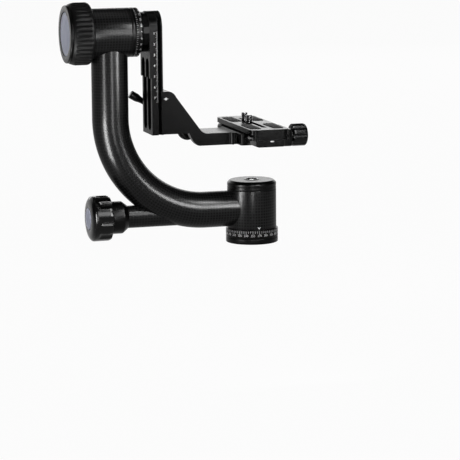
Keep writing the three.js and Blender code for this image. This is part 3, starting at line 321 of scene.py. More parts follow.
def is_sharp(edge):
    return len(edge.link_faces) == 2 and edge.calc_face_angle(0) > math.radians(28)


def softened(bm, width):
    """Level faces are merged, and sharp edges get a small round."""
    bmesh.ops.dissolve_limit(bm, angle_limit=math.radians(0.5), verts=bm.verts, edges=bm.edges)
    bmesh.ops.bevel(
        bm,
        geom=[edge for edge in bm.edges if is_sharp(edge)],
        offset=width,
        offset_type="OFFSET",
        segments=3,
        profile=0.5,
        affect="EDGES",
        clamp_overlap=True,
    )
    return bm


def turned_copies(make, count, axis, centre):
    """Copies of a form made by make(), spaced evenly about an axis through centre."""
    copies = []
    about = Matrix.Translation(Vector(centre))
    for i in range(count):
        bm = make()
        spin = Matrix.Rotation(2 * math.pi * i / count, 4, axis.upper())
        bm.transform(about @ spin @ about.inverted())
        copies.append(bm)
    return copies


# Pieces
def new_object(name, bm, material, sharp=34):
    """Object of a form, in metres, smooth apart from edges sharper than the angle in degrees."""
    mesh = mesh_of(name, bm)
    mesh.transform(Matrix.Scale(MM, 4))
    mesh.materials.append(material)
    mesh.shade_smooth()
    mesh.set_sharp_from_angle(angle=math.radians(sharp))
    return add_object(name, mesh)


def piece(node, kind, bm, material, sharp=34):
    """A piece that stands for a CAD node, and is named after it."""
    made = new_object(f"{node}_{kind}", bm, material, sharp)
    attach(made, body_of(node))
    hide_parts(node)
    return made


def milled(node, bm, edge, material):
    """A milled piece: sharp edges get a round so wide, and its faces keep level shading."""
    made = piece(node, "milled", softened(bm, edge), material)
    level = made.modifiers.new("level_normals", "WEIGHTED_NORMAL")
    level.keep_sharp = True


# Materials
class Shader:
    """A Principled material with a few helpers for its nodes."""

    def __init__(self, name, roughness, metallic=0.0, specular=0.5, **inputs):
        self.material = bpy.data.materials.new(name)
        self.material.use_nodes = True
        self.nodes = self.material.node_tree.nodes
        self.links = self.material.node_tree.links
        self.main = self.nodes["Principled BSDF"]
        self.drive("Roughness", roughness)
        self.drive("Metallic", metallic)
        self.drive("Specular IOR Level", specular)
        for label, value in inputs.items():
            self.drive(label.replace("_", " "), value)

    def drive(self, label, value):
        self.feed(self.main.inputs[label], value)

    def feed(self, socket, value):
        """Links another node's output to a socket, or sets the socket's own value."""
        if isinstance(value, bpy.types.NodeSocket):
            self.links.new(value, socket)
        else:
            socket.default_value = value

    def add(self, kind, inputs=(), **settings):
        """A new node; inputs are pairs of a name or number and a value."""
        node = self.nodes.new(kind)
        for label, value in settings.items():
            setattr(node, label, value)
        for label, value in inputs:
            self.feed(node.inputs[label], value)
        return node

    def place(self, label="Object"):
        return self.add("ShaderNodeTexCoord").outputs[label]

    def math(self, operation, *values):
        return self.add("ShaderNodeMath", enumerate(values), operation=operation).outputs[0]

    def vector(self, operation, *values):
        return self.add("ShaderNodeVectorMath", enumerate(values), operation=operation).outputs

    def noise(self, source, size, detail=3):
        """Noise whose patches are about size millimetres wide, on object coordinates."""
        inputs = {"Vector": source, "Scale": 1 / (size * MM), "Detail": detail, "Roughness": 0.55}
        return self.add("ShaderNodeTexNoise", inputs.items()).outputs["Fac"]

    def spread(self, source, low, high, start=0.0, end=1.0):
        """Takes what runs from start to end to what runs from low to high."""
        return self.add("ShaderNodeMapRange", enumerate([source, start, end, low, high])).outputs[0]

    def mix(self, factor, first, second):
        """Mix of two colours; their sockets are 6 and 7, and the mixed colour is output 2."""
        inputs = [(0, factor), (6, first), (7, second)]
        return self.add("ShaderNodeMix", inputs, data_type="RGBA").outputs[2]

    def bump(self, height, depth):
        """Bump of a height from 0 to 1, depth in millimetres."""
        inputs = [("Distance", depth * MM), ("Height", height)]
        self.drive("Normal", self.add("ShaderNodeBump", inputs).outputs["Normal"])

    def worn_edges(self, base, bright, width):
        """Brighter colour within width millimetres of a sharp edge: partly wear, partly a painted highlight.
        """
        bevel = self.add("ShaderNodeBevel", [("Radius", width * MM)], samples=4).outputs[0]
        plain = self.add("ShaderNodeNewGeometry").outputs["Normal"]
        level = self.vector("DOT_PRODUCT", bevel, plain)["Value"]
        return self.mix(self.spread(level, 1.0, 0.0, 0.8, 0.98), base, bright)

    def crown(self, value):
        """Height of a round tow: 1 in its middle, 0 at the seams at whole numbers."""
        centred = self.math("SUBTRACT", self.math("FRACT", value), 0.5)
        drop = self.math("MULTIPLY", self.math("MULTIPLY", centred, centred), 4)
        return self.math("SUBTRACT", 1, drop)


# Colours, with their alpha
def grey(level):
    return (level, level, level * 1.02, 1)


def greys(low, high):
    return grey(low), grey(high)


def finish(name, dark, light, roughness, grain=0.35, depth=0.004, edge=None, **inputs):
    """Fine grain, with a slow drift in colour and gloss that varies a little."""
    drift_size, edge_width = 18, 0.35
    shader = Shader(name, roughness, **inputs)
    place = shader.place()
    drift = shader.noise(place, drift_size)
    fine = shader.noise(place, grain, 2)
    colour = shader.mix(shader.spread(drift, 0, 1, 0.3, 0.7), dark, light)
    # lighter colour on sharp edges: partly wear, partly painted highlight
    if edge:
        colour = shader.worn_edges(colour, edge, edge_width)
    shader.drive("Base Color", colour)
    shader.drive("Roughness", shader.spread(fine, roughness - 0.06, roughness + 0.08, 0.3, 0.7))
    shader.bump(fine, depth)
    return shader.material


def weave(name, pitch):
    """Plain woven carbon under lacquer, on texture coordinates in millimetres."""
    shader = Shader(name, 0.35, Coat_Roughness=0.2, specular=0.02)
    cells = shader.vector("MULTIPLY", shader.place("UV"), (1 / pitch, 1 / pitch, 1))["Vector"]
    across, along, _ = shader.add("ShaderNodeSeparateXYZ", [(0, cells)]).outputs
    crowns = shader.math("MINIMUM", shader.crown(across), shader.crown(along))
    seam = shader.spread(crowns, 1.0, 0.0, 0.2, 0.85)
    fibres = shader.noise(shader.place(), 1.2, 2)
    tow = shader.mix(fibres, *greys(0.0003, 0.001))
    shader.drive("Base Color", shader.mix(seam, tow, grey(0.017)))
    shader.drive("Roughness", shader.spread(fibres, 0.3, 0.4))
    shader.drive("Coat Weight", shader.spread(seam, 0.165, 0.1))
    return shader.material


def brushed(name, dark, light, roughness, stretch, metallic=1.0, **inputs):
    """Turned or brushed surface, with fine lines across the axes of large stretch."""
    shader = Shader(name, roughness, metallic, **inputs)
    stretched = shader.vector("MULTIPLY", shader.place(), stretch)["Vector"]
    lines = shader.noise(stretched, 1.0, 4)
    shader.drive("Base Color", shader.mix(lines, dark, light))
    shader.drive("Roughness", shader.spread(lines, roughness - 0.08, roughness + 0.12))
    shader.bump(lines, 0.006)
    return shader.material


carbon = weave("carbon_weave", TOW)
# the edge colours below are partly wear and partly painted highlight on sharp edges
anodised = finish("anodised_black", *greys(0.001, 0.003), 0.28, edge=grey(0.02), specular=0.06)
polished = finish("anodised_polished", *greys(0.0005, 0.001), 0.2, specular=0.04)
satin = finish("anodised_satin", *greys(0.002, 0.004), 0.25, edge=grey(0.05), specular=0.03)
plate_satin = finish("plate_satin", *greys(0.002, 0.003), 0.24, edge=grey(0.2), specular=0.03)
knob_plastic = finish("knob_satin_black", *greys(0.001, 0.003), 0.2, depth=0.002, specular=0.12)
rubber = finish("grip_rubber", *greys(0.001, 0.002), 0.45, 0.25, 0.02, specular=0.06)
pad_rubber = finish("pad_rubber", *greys(0.004, 0.009), 0.7, 0.5, 0.06, specular=0.08)
paint = finish("marking_paint", *greys(0.7, 0.8), 0.55, 0.4)

ACROSS_X = (40, 900, 900)
ROUND_Z = (200, 200, 1600)
FINE_ROUND_Z = (300, 300, 900)
disc_dark, disc_light = (0.62, 0.65, 0.82, 1), (0.74, 0.78, 0.96, 1)
silver_blue = brushed("disc_silver_blue", disc_dark, disc_light, 0.42, ACROSS_X, 0.0, specular=0.05)
dark_steel = brushed("steel_blackened", *greys(0.06, 0.14), 0.24, ROUND_Z)
steel = brushed("steel_turned", (0.42, 0.42, 0.43, 1), (0.62, 0.62, 0.63, 1), 0.28, ROUND_Z)
aluminium_dark, aluminium_light = (0.45, 0.45, 0.46, 1), (0.6, 0.6, 0.61, 1)
bare_aluminium = brushed("aluminium_turned", aluminium_dark, aluminium_light, 0.35, FINE_ROUND_Z)
brass = brushed("brass_turned", (0.42, 0.27, 0.09, 1), (0.6, 0.42, 0.17, 1), 0.3, FINE_ROUND_Z)
fluid = Shader("level_fluid", 0.08, Coat_Weight=1.0).material


# Camera, light and floor
def look_through():
    """The photograph's camera, solved from the head's round forms and axes."""
    place = Vector((-0.676301, -2.173606, 0.391652))
    right = Vector((0.957154, -0.289460, -0.008362))
    up = Vector((0.055679, 0.155621, 0.986246))
    back = right.cross(up)
    focal_pixels = 2368.86
    frame_pixels = 460
    sensor = 36
    camera = add_object("camera", bpy.data.cameras.new("camera"))
    turn = Matrix((right, up, back)).transposed().to_4x4()
    camera.matrix_world = Matrix.Translation(place) @ turn
    camera.data.sensor_width = sensor
    camera.data.lens = focal_pixels * sensor / frame_pixels
    camera.data.clip_start = 0.05
    camera.data.clip_end = 200
    bpy.context.scene.camera = camera
    bpy.context.scene.view_settings.view_transform = "Standard"


def lamp(name, place, target, wide, tall, power, gives="both"):
    """Area lamp that gives highlights only ("gloss"), plain light only ("fill") or both."""
    data = bpy.data.lights.new(name, "AREA")
    data.energy = power
    data.shape = "RECTANGLE"
    data.size = wide
    data.size_y = tall
    made = add_object(name, data)
    made.location = place
    made.visible_camera = False
    made.visible_diffuse = gives != "gloss"
    made.visible_glossy = gives != "fill"
    made.rotation_euler = (Vector(target) - Vector(place)).to_track_quat("-Z", "Y").to_euler()


def strip_light(name, azimuth, distance, low, high, wide, power, gives="both"):
    """Upright strip round the arm; azimuth 0 is in front, along -Y, and grows to the right."""
    turn = math.radians(azimuth)
    target = Vector((-0.14, 0, (low + high) / 2))
    place = target + Vector((math.sin(turn) * distance, -math.cos(turn) * distance, 0))
    lamp(name, place, target, wide, high - low, power, gives)


def light_the_studio():
    """Near lamps draw the highlights; the far ones light the head from all sides."""
    strip_light("left_strip", -49, 0.6, 0.004, 0.22, 0.14, 3.0, "gloss")
    strip_light("middle_strip", 0, 0.6, 0.004, 0.22, 0.11, 2.3, "gloss")
    lamp("near_panel", (0.005, -0.36, 0.245), (-0.07, 0, 0.16), 0.2, 0.15, 1.9, "gloss")
    lamp("over_panel", (0.055, -0.25, 0.36), (-0.06, 0, 0.033), 0.14, 0.12, 2.8, "gloss")
    lamp("bend_panel", (0.08, -0.305, 0.16), (-0.09, 0, 0.05), 0.08, 0.1, 1.9, "gloss")
    lamp("left_bend_panel", (-0.255, -0.105, 0.06), (-0.146, -0.015, 0.1), 0.055, 0.1, 1.4, "gloss")
    strip_light("rear_left_panel", -155, 2.2, 0.05, 1.9, 1.7, 11)
    strip_light("back_panel", 165, 2.2, 0.3, 1.0, 2.6, 18)
    lamp("front_fill", (-0.5, -2.0, 1.2), (-0.07, 0, 0.1), 1.4, 1.4, 22, "fill")
    lamp("top_panel", (-0.1, 0.1, 1.9), (-0.08, 0.0, 0.1), 1.2, 1.2, 5)
    world = bpy.data.worlds.new("studio")
    bpy.context.scene.world = world
    world.use_nodes = True
    shade = world.node_tree.nodes["Background"]
    shade.inputs["Color"].default_value = (1, 1, 1, 1)
    shade.inputs["Strength"].default_value = 0.06


def floor_paper():
    """Pale paper that takes shadows; camera, gloss and glass mostly see it glow plain white."""
    glow_share = 0.96
    shader = Shader("floor_paper", 0.9, Base_Color=(0.4, 0.4, 0.4, 1), specular=0.1)
    glow = shader.add("ShaderNodeEmission").outputs[0]
    path = shader.add("ShaderNodeLightPath").outputs
    clear = shader.math("MAXIMUM", path["Is Glossy Ray"], path["Is Transmission Ray"])
    seen = shader.math("MAXIMUM", path["Is Camera Ray"], clear)
    share = shader.math("MULTIPLY", seen, glow_share)
    blend = shader.add("ShaderNodeMixShader", enumerate([share, shader.main.outputs[0], glow]))
    shader.feed(shader.nodes["Material Output"].inputs["Surface"], blend.outputs[0])
    return shader.material


def lay_floor():
    half = 40.0
    sunk = 0.0002
    corners = [(-half, -half, 0), (half, -half, 0), (half, half, 0), (-half, half, 0)]
    mesh = bpy.data.meshes.new("floor")
    mesh.from_pydata(corners, [], [(0, 1, 2, 3)])
    mesh.materials.append(floor_paper())
    floor = add_object("floor", mesh)
    floor.location.z = -sunk


# Base and pan housing
def build_screw(axis, node, head_end, head_height, head_radius, shank_radius):
    """Cap screw with a hexagon socket; its head is at the low (0) or high (1) end of its box."""
    socket_radius, socket_depth = 1.5, 2.2
    index = "xyz".index(axis)
    inward = -1 if head_end else 1
    start = box(node)[head_end][index]
    tip = box(node)[1 - head_end][index]
    neck = start + inward * head_height
    centre = middle(node)
    centre[index] = 0
    corners = [
        (0, start, 0), (head_radius, start, 0.4),
        (head_radius, neck, 0.1), (shank_radius, neck, 0.1),
        (shank_radius, tip, 0.4), (0, tip, 0),
    ]
    socket = rod(axis, centre, socket_radius, start - inward, start + inward * socket_depth, 6)
    screw = cut(turned(axis, centre, corners, SMALL_SIDES), socket)
    piece(node, "socket", screw, steel)


def build_base_flange():
    radius, _, top = box("base_flange")[1]
    ring_low, ring_high = box("pan_index_ring")
    bore = box("thread_bush")[1].x + GAP
    spigot = ring_high.x - 4.9
    step = ring_low.z - GAP
    corners = [
        (bore, 0, 0.3), (radius, 0, 0.8),
        (radius, step, 0.5), (spigot, step, 0),
        (spigot, top, 0.4), (bore, top, 0.3),
    ]
    low, high = box("spindle_screw_1")
    screw_circle = (low.x + high.x) / 2
    hole_radius = (high.x - low.x) / 2 + GAP
    hole_depth = low.z + 4.5

    def hole():
        return rod("z", (screw_circle, 0, 0), hole_radius, -1, hole_depth, 32)

    foot = cut(turned("z", ORIGIN, corners), *turned_copies(hole, 3, "z", ORIGIN))
    piece("base_flange", "turned", foot, anodised)


def build_base():
    build_base_flange()
    low, high = box("pan_index_ring")
    corners = band(high.x - 4.6, high.x, low.z, high.z, (0.2, 0.4, 0.5, 0.2))
    piece("pan_index_ring", "turned", turned("z", ORIGIN, corners, 144), anodised)
    low, high = box("thread_bush")
    crest, groove, half_pitch = 4.2, 0.35, 0.4
    thread = [(crest + groove * (k % 2), high.z - 0.3 - half_pitch * k, 0) for k in range(27)]
    corners = [(4.9, low.z, 0), (high.x, low.z, 0.3), (high.x, high.z, 0.3), (4.4, high.z, 0)]
    bush = turned("z", ORIGIN, corners + thread, SMALL_SIDES)
    piece("thread_bush", "turned", bush, steel, sharp=20)
    for i in (1, 2, 3):
        build_screw("z", f"spindle_screw_{i}", 0, head_height=4.2, head_radius=3.4, shank_radius=2)


def build_pan_cap():
    radius = PAN_RADIUS
    low, high = box("pan_cap")
    top = high.z
    bottom = box("pan_housing")[1].z + GAP
    level_seat = top - 6.2
    level_radius = 7.5
    bevel = 2.5
    groove_low, groove_high, groove_depth = bottom + 2.5, bottom + 3.3, 0.6
    spigot, spigot_bore = radius - 3.3, radius - 6.2
    corners = [
        (0, level_seat, 0), (level_radius, level_seat, 0),
        (level_radius, top, 0.3), (radius - bevel, top, 0.8),
        (radius, top - bevel, 0.8), (radius, groove_high, 0.2),
        (radius - groove_depth, groove_high, 0), (radius - groove_depth, groove_low, 0),
        (radius, groove_low, 0.2), (radius, bottom, 0.2),
        (spigot, bottom, 0), (spigot, low.z, 0.3),
        (spigot_bore, low.z, 0.3), (spigot_bore, bottom, 0),
        (0, bottom, 0),
    ]
    piece("pan_cap", "turned", turned("z", ORIGIN, corners, 128), anodised)


def build_pan_housing():
    low, high = box("pan_housing")
    shell = band(PAN_RADIUS - CARBON_WALL, PAN_RADIUS, low.z, high.z, (0.2, 0.4, 0.3, 0.2))
    piece("pan_housing", "carbon", turned("z", ORIGIN, shell), carbon)
    build_pan_cap()
    low, high = box("level_ring")
    rim = turned("z", ORIGIN, band(5.4, high.x, low.z, high.z, (0, 0, 0.5, 0.4)))
    piece("level_ring", "turned", rim, knob_plastic)
    low, high = box("level_vial")
    top = high.z
    dome = [(0, low.z, 0), (5.1, low.z, 0.1), (5.1, top - 0.9, 0.2), (2.5, top - 0.2, 1), (0, top, 0)]
    piece("level_vial", "dome", turned("z", ORIGIN, dome), fluid)


# Arm: its upright line in x, the height of its foot and the radius of its bend
ARM_X = -140.0
FOOT_Z = 33.2
BEND = 92.5


def arm_line():
    """Places on the arm's centre line with their directions, from its top to its foot."""
    down = Vector((0, 0, -1))
    inward = Vector((1, 0, 0))
    bend_x = ARM_X + BEND
    bend_z = FOOT_Z + BEND
    upright_top = TILT_Z - 14
    foot_end = -12
    points = [(Vector((ARM_X, 0, z)), down) for z in [TILT_Z, *evenly(upright_top, bend_z, 8)]]
    for angle in evenly(math.pi, math.pi * 1.5, 96)[1:]:
        place = Vector((bend_x + BEND * math.cos(angle), 0, bend_z + BEND * math.sin(angle)))
        points.append((place, Vector((-math.sin(angle), 0, math.cos(angle)))))
    points += [(Vector((x, 0, FOOT_Z)), inward) for x in evenly(bend_x, foot_end, 8)[1:]]
    return points


def arm_ring(bm, place, direction, radius):
    """Vertices round the arm, held back to the surfaces of the two housings that it meets."""
    tilt_reach = TILT_RADIUS + GAP
    pan_reach = PAN_RADIUS + GAP
    side = Vector((0, 1, 0))
    outward = side.cross(direction)
    ring = []
    for i in range(SIDES):
        angle = 2 * math.pi * i / SIDES
        offset = outward * math.cos(angle) + side * math.sin(angle)
        point = place + offset * radius
        if direction.z < -0.5:
            point.z = min(point.z, TILT_Z - math.sqrt(tilt_reach**2 - point.y**2))
        if direction.x > 0.5:
            point.x = min(point.x, -math.sqrt(pan_reach**2 - point.y**2))
        ring.append(bm.verts.new(point))
    return ring


def build_arm_tube():
    radius = radius_of("arm_tube")
    bm = bmesh.new()
    line = arm_line()
    rings = [arm_ring(bm, place, direction, radius) for place, direction in line]
    lengths = [0]
    for (before, _), (after, _) in zip(line, line[1:]):
        lengths.append(lengths[-1] + (after - before).length)
    skinned(bm, rings, lengths, whole_tows(radius))
    bm.faces.new(rings[0])
    bm.faces.new(rings[-1])
    piece("arm_tube", "carbon", bm, carbon)


def build_arm():
    build_arm_tube()
    low, high = box("branch_tube")
    inside_arm = 6
    branch = rod("x", LOCK_AXIS, radius_of("branch_tube"), low.x, high.x + inside_arm)
    piece("branch_tube", "carbon", branch, carbon)
    low, high = box("branch_collar")
    start, end = low.x, high.x
    radius = radius_of("branch_collar")
    rod_bore, tube_bore, tube_seat = 6.3, 11.1, high.x - 8
    corners = [
        (rod_bore, start, 0.2), (radius, start, 0.5),
        (radius, end - 5.2, 0.8), (11.4, end, 0.5),
        (tube_bore, end, 0), (tube_bore, tube_seat, 0),
        (rod_bore, tube_seat, 0),
    ]
    piece("branch_collar", "turned", turned("x", LOCK_AXIS, corners), anodised)


# Knobs
def fluted(count, knob_radius, flute_radius, depth, start, end):
    """Ripple for round flutes that fade in before start and stop at end."""
    fade_length = 3
    fade_start = start - 2
    centre = knob_radius + flute_radius - depth
    step = 2 * math.pi / count

    def ripple(angle, along, radius):
        offset = (angle - math.pi / 2 + step / 2) % step - step / 2
        inside = flute_radius**2 - (centre * math.sin(offset)) ** 2
        if inside <= 0 or along < fade_start or along > end:
            return radius
        floor = centre * math.cos(offset) - math.sqrt(inside)
        share = min(1.0, max(0.0, (along - fade_start) / fade_length))
        return radius + (min(radius, floor) - radius) * math.sin(share * math.pi / 2)

    return ripple


def straight(radius, start, end, count):
    """Corners between start and end, so that a ripple shows on a straight side."""
    return [(radius, along, 0) for along in evenly(start, end, count)[1:-1]]


def build_disc(name, centre, radius, line_radius, body):
    """Blue-silver disc at a knob's face, with a thin light line printed round it."""
    low, high = box(name)
    disc = turned("x", centre, band(0, radius, low.x, high.x, (0, 0.3, 0, 0)), 128)
    piece(name, "face", disc, silver_blue)
    half = MARK_DEPTH / 2
    line = turned("x", centre, band(line_radius - 0.5, line_radius, low.x - half, low.x + half))
    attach(new_object(f"{name}_line", line, paint), body)


def build_pan_lock():
    """Knob with a domed face, and eight flutes from its back."""
    low, high = box("pan_lock_knob")
    front = low.x
    back = box("branch_collar")[0].x - GAP
    radius, seat_radius, shaft_radius = 21.7, 10.6, 6
    seat = front + 1.2
    side_start, side_end = front + 3.2, back - 3.4
    corners = [
        (0, seat, 0), (seat_radius, seat, 0),
        (seat_radius, front, 0.4), (14.8, front, 1.6),
        (18.6, front + 0.8, 1.5), (radius, side_start, 1.4),
        *straight(radius, side_start + 1.4, side_end, 14),
        (radius, side_end, 0), (20.9, back - 1.2, 0),
        (18.3, back, 0.6), (shaft_radius, back, 0),
        (shaft_radius, high.x, 0.3), (0, high.x, 0),
    ]
    flutes = fluted(8, radius, flute_radius=9, depth=1.5, start=back - 12.6, end=back + 1)
    knob = turned("x", LOCK_AXIS, corners, 288, flutes)
    piece("pan_lock_knob", "body", knob, knob_plastic)
    build_disc("pan_lock_disc", LOCK_AXIS, 10.3, 9.5, "pan_knob")


# Tilt axis
def build_tilt_head():
    low, high = box("tilt_housing")
    shell = band(TILT_RADIUS - CARBON_WALL, TILT_RADIUS, low.x, high.x, (0.2, 0.3, 0.3, 0.2))
    piece("tilt_housing", "carbon", turned("x", TILT_AXIS, shell), carbon)
    low, high = box("tilt_rim")
    lip = high.x - 3.1
    spigot_bore, spigot, shaft_bore = 15, 20.1, 12.9
    corners = [
        (spigot_bore, low.x, 0), (spigot, low.x, 0),
        (spigot, lip, 0), (TILT_RADIUS, lip, 0.2),
        (TILT_RADIUS, high.x, 0.9), (shaft_bore, high.x, 0.2),
        (shaft_bore, lip, 0), (spigot_bore, lip, 0),
    ]
    piece("tilt_rim", "turned", turned("x", TILT_AXIS, corners), anodised)
    low, high = box("tilt_index_ring")
    bore = 10.8
    corners = [
        (bore, low.x, 0), (TILT_RADIUS, low.x, 0.4),
        (TILT_RADIUS, high.x - 2.3, 0.5), (TILT_RADIUS - 3, high.x, 0.3),
        (bore, high.x, 0),
    ]
    piece("tilt_index_ring", "turned", turned("x", TILT_AXIS, corners, 144), anodised)


def build_tilt_knob_core():
    low, high = box("tilt_knob_core")
    face_radius = radius_of("tilt_knob_core")
    disc_seat, disc_radius = box("tilt_knob_disc")[1].x + GAP, 20.9
    flange_back = low.x + 2.3
    grip_end, grip_bore = box("tilt_knob_grip")[1].x, 24.2
    stem, shaft_bore, shaft_seat = 19.8, 8.8, high.x - 14
    corners = [
        (0, disc_seat, 0), (disc_radius, disc_seat, 0),
        (disc_radius, low.x, 0.3), (face_radius, low.x, 1.2),
        (face_radius, flange_back, 0.3), (grip_bore, flange_back, 0),
        (grip_bore, grip_end, 0.2), (stem, grip_end, 0),
        (stem, high.x, 0), (shaft_bore, high.x, 0),
        (shaft_bore, shaft_seat, 0), (0, shaft_seat, 0),
    ]
    piece("tilt_knob_core", "turned", turned("x", TILT_AXIS, corners, 128), anodised)


def build_tilt_grip():
    """Rubber grip with ribs that fade out at both ends."""
    low, high = box("tilt_knob_grip")
    start, end = low.x, high.x
    bore, radius = 24.5, 29.5
    ribs, rib_depth, rib_fade = 36, 1.1, 2.5
    rib_start, rib_end = start + 2.4, end - 2.4

    def ribbed(angle, along, outer):
        if outer < bore + 0.5 or along < rib_start or along > rib_end:
            return outer
        swell = min(1.0, (along - rib_start) / rib_fade, (rib_end - along) / rib_fade)
        wave = 0.5 - 0.5 * math.cos(ribs * angle)
        return outer - rib_depth * swell * (1 - wave**0.5)

    corners = [
        (bore, start, 0), (27.4, start, 0.8),
        (28.8, start + 3.2, 1.2), (radius, start + 6.4, 0),
        *straight(radius, start + 6.4, end - 3.2, 8),
        (radius, end - 3.2, 0), (28.4, end - 1.1, 0.6),
        (26.3, end, 0.4), (bore, end, 0),
    ]
    grip = turned("x", TILT_AXIS, corners, ribs * 10, ribbed)
    piece("tilt_knob_grip", "ribbed", grip, rubber)


def build_tilt_axis():
    build_tilt_head()
    build_tilt_knob_core()
    build_disc("tilt_knob_disc", TILT_AXIS, 20.6, 19.4, "tilt_knob")
    build_tilt_grip()


# Rail
def rail_outline(half, bottom, top):
    return [Vector((-half, bottom)), Vector((half, bottom))] + arc(0, top - half, half, 0, 180, 36)


def build_rail():
    """Bar with a dovetail, a thicker pad at its top with two long pockets, and three screw seats."""
    low, high = box("swing_rail")
    half, bottom, top = high.y, low.z, high.z
    left, front, head = low.x + 1.6, low.x + 7.8, high.x
    neck, dovetail, edge = half - 4.9, half - 1.3, 1.2
    widths = [
        (low.x, half), (front, half),
        (front, neck), (front + edge, neck),
        (head - edge, dovetail), (head, dovetail),
    ]
    body = lofted("x", [(x, rail_outline(reach, bottom, top)) for x, reach in widths])
    pad_end, past = 164, 4
    below_pad = brick(low.x - past, left, -half - past, half + past, bottom - past, pad_end)
    pocket_half, pocket_low, pocket_high = 5.7, 113.9, 182.6
    pockets = []
    for y in (-7.5, 7.5):
        outline = rectangle(y - pocket_half, y + pocket_half, pocket_low, pocket_high, pocket_half)
        pockets.append(prism("x", outline, low.x - past, left + 5))
    screw_centre = (0, 0, TILT_Z + 8)

    def shank():
        return rod("x", screw_centre, 2.8, low.x - past, head + past, 32)

    def seat():
        return rod("x", screw_centre, 4.5, head - 5.2, head + past, SMALL_SIDES)

    holes = turned_copies(shank, 3, "x", TILT_AXIS) + turned_copies(seat, 3, "x", TILT_AXIS)
    milled("swing_rail", cut(body, below_pad, *pockets, *holes), 0.35, satin)
    for i in (1, 2, 3):
        build_screw("x", f"rail_screw_{i}", 1, head_height=4.6, head_radius=4.2, shank_radius=2.5)
    build_screw("z", "rail_stop_screw", 0, head_height=2, head_radius=3.2, shank_radius=1.6)


# Cradle and its jaw, which hold the rail's dovetail
def cradle_outline():
    """Side view in X and Z: a web at the rail that slopes down to a platform."""
    low, high = box("cradle")
    shoulder = -80.1
    slope_end = Vector((-58.0, 115.2))
    gusset, platform = 110.6, 109.8
    slope = Vector((slope_end.x - shoulder, slope_end.y - high.z + 6)).normalized()
    foot = slope_end + slope * (slope_end.y - platform) / -slope.y
    return [
        Vector((low.x, gusset)),
        *curve((-67.8, gusset), (-62.8, low.z), (-57.3, low.z)),
        Vector((high.x + 5, low.z)),
        Vector((high.x + 5, platform)),
        *curve(foot + Vector((4.5, 0)), foot, foot - slope * 5),
        *curve((shoulder, high.z - 6), (shoulder - 3, high.z), (shoulder - 8.6, high.z)),
        Vector((low.x, high.z)),
    ]


def build_cradle():
    low, high = box("cradle")
    mouth_x = low.x - 4
    mouth_y = HEAD_Y - FLANK_SLOPE * (EDGE_X - mouth_x)
    dovetail = polygon((mouth_x, -mouth_y), (EDGE_X, -HEAD_Y), (SLOT_X, -HEAD_Y), (SLOT_X, 17), (mouth_x, 17))
    hollow = polygon((-77, 90), (-53.3, 90), (-53.3, 105.3, 3), (-62.5, 114.4, 1), (-77, 134.5, 2))
    # Seen from above: the platform's half width, its corner arcs and the step for the jaw
    half, corner_x, corner = 20, -28.9, 4
    step_x, step_y = -49.5, 13
    plan = [
        Vector((low.x - 1, -half)),
        *arc(corner_x, -half - corner, corner, 90, 0, 8),
        *arc(corner_x, half + corner, corner, 0, -90, 8),
        Vector((step_x, half)),
        Vector((step_x, step_y)),
        Vector((low.x - 1, step_y)),
    ]
    whole = meeting(prism("y", cradle_outline(), -30, 30), prism("z", plan, low.z - 5, high.z + 5))
    whole = cut(whole, prism("z", dovetail, 90, 160), prism("y", hollow, -12, 17))
    milled("cradle", whole, 0.45, satin)


def stud_centre():
    centre = middle("lever_stud")
    centre.y = 0
    return centre


def build_height_jaw():
    low, high = box("height_jaw")
    mouth = [(low.x, 14.9), (EDGE_X, HEAD_Y), (SLOT_X, HEAD_Y)]
    block = [(SLOT_X, low.y), (high.x, low.y), (high.x, high.y), (low.x, high.y)]
    plan = prism("z", polygon(*mouth, *block), 110.6, 160)
    jaw = meeting(prism("y", cradle_outline(), low.y - 1, high.y + 4), plan)
    jaw = joined(jaw, rod("y", stud_centre(), 7.5, low.y, high.y, SMALL_SIDES))
    milled("height_jaw", jaw, 0.4, satin)


def build_lever():
    low, high = box("height_lever")
    centre = stud_centre()
    radius, nut_radius = 9.9, 7.7
    corners = [
        (0, low.y, 0), (radius, low.y, 0.3),
        (radius, low.y + 4, 1), (nut_radius, low.y + 6.2, 0.6),
        (nut_radius, high.y, 1), (0, high.y, 0),
    ]
    hub = turned("y", centre, corners)
    arm_y = low.y + 7.8
    tip = Vector((-112.7, arm_y, 145))
    foot = Vector((centre.x, arm_y, centre.z + 3.5))
    reach = (tip - foot).length
    corners = [
        (0, 0, 0), (2.7, 0, 0),
        (2.6, reach * 0.5, 4), (2.8, reach - 12, 3),
        (4, reach - 8, 1.5), (4, reach - 0.9, 0.8),
        (3.1, reach, 0.4), (0, reach, 0),
    ]
    arm = turned("z", ORIGIN, corners, SMALL_SIDES)
    turn = (tip - foot).to_track_quat("Z", "Y").to_matrix().to_4x4()
    arm.transform(Matrix.Translation(foot) @ turn)
    piece("height_lever", "moulded", joined(hub, arm), knob_plastic)


# Clamp's channel: its floor, half width there and at the top, and height below the slant
CLAMP_FLOOR = 105.8
LIP_X = 19.3
HOOK_X = 15.9
LIP_HEIGHT = 1.4


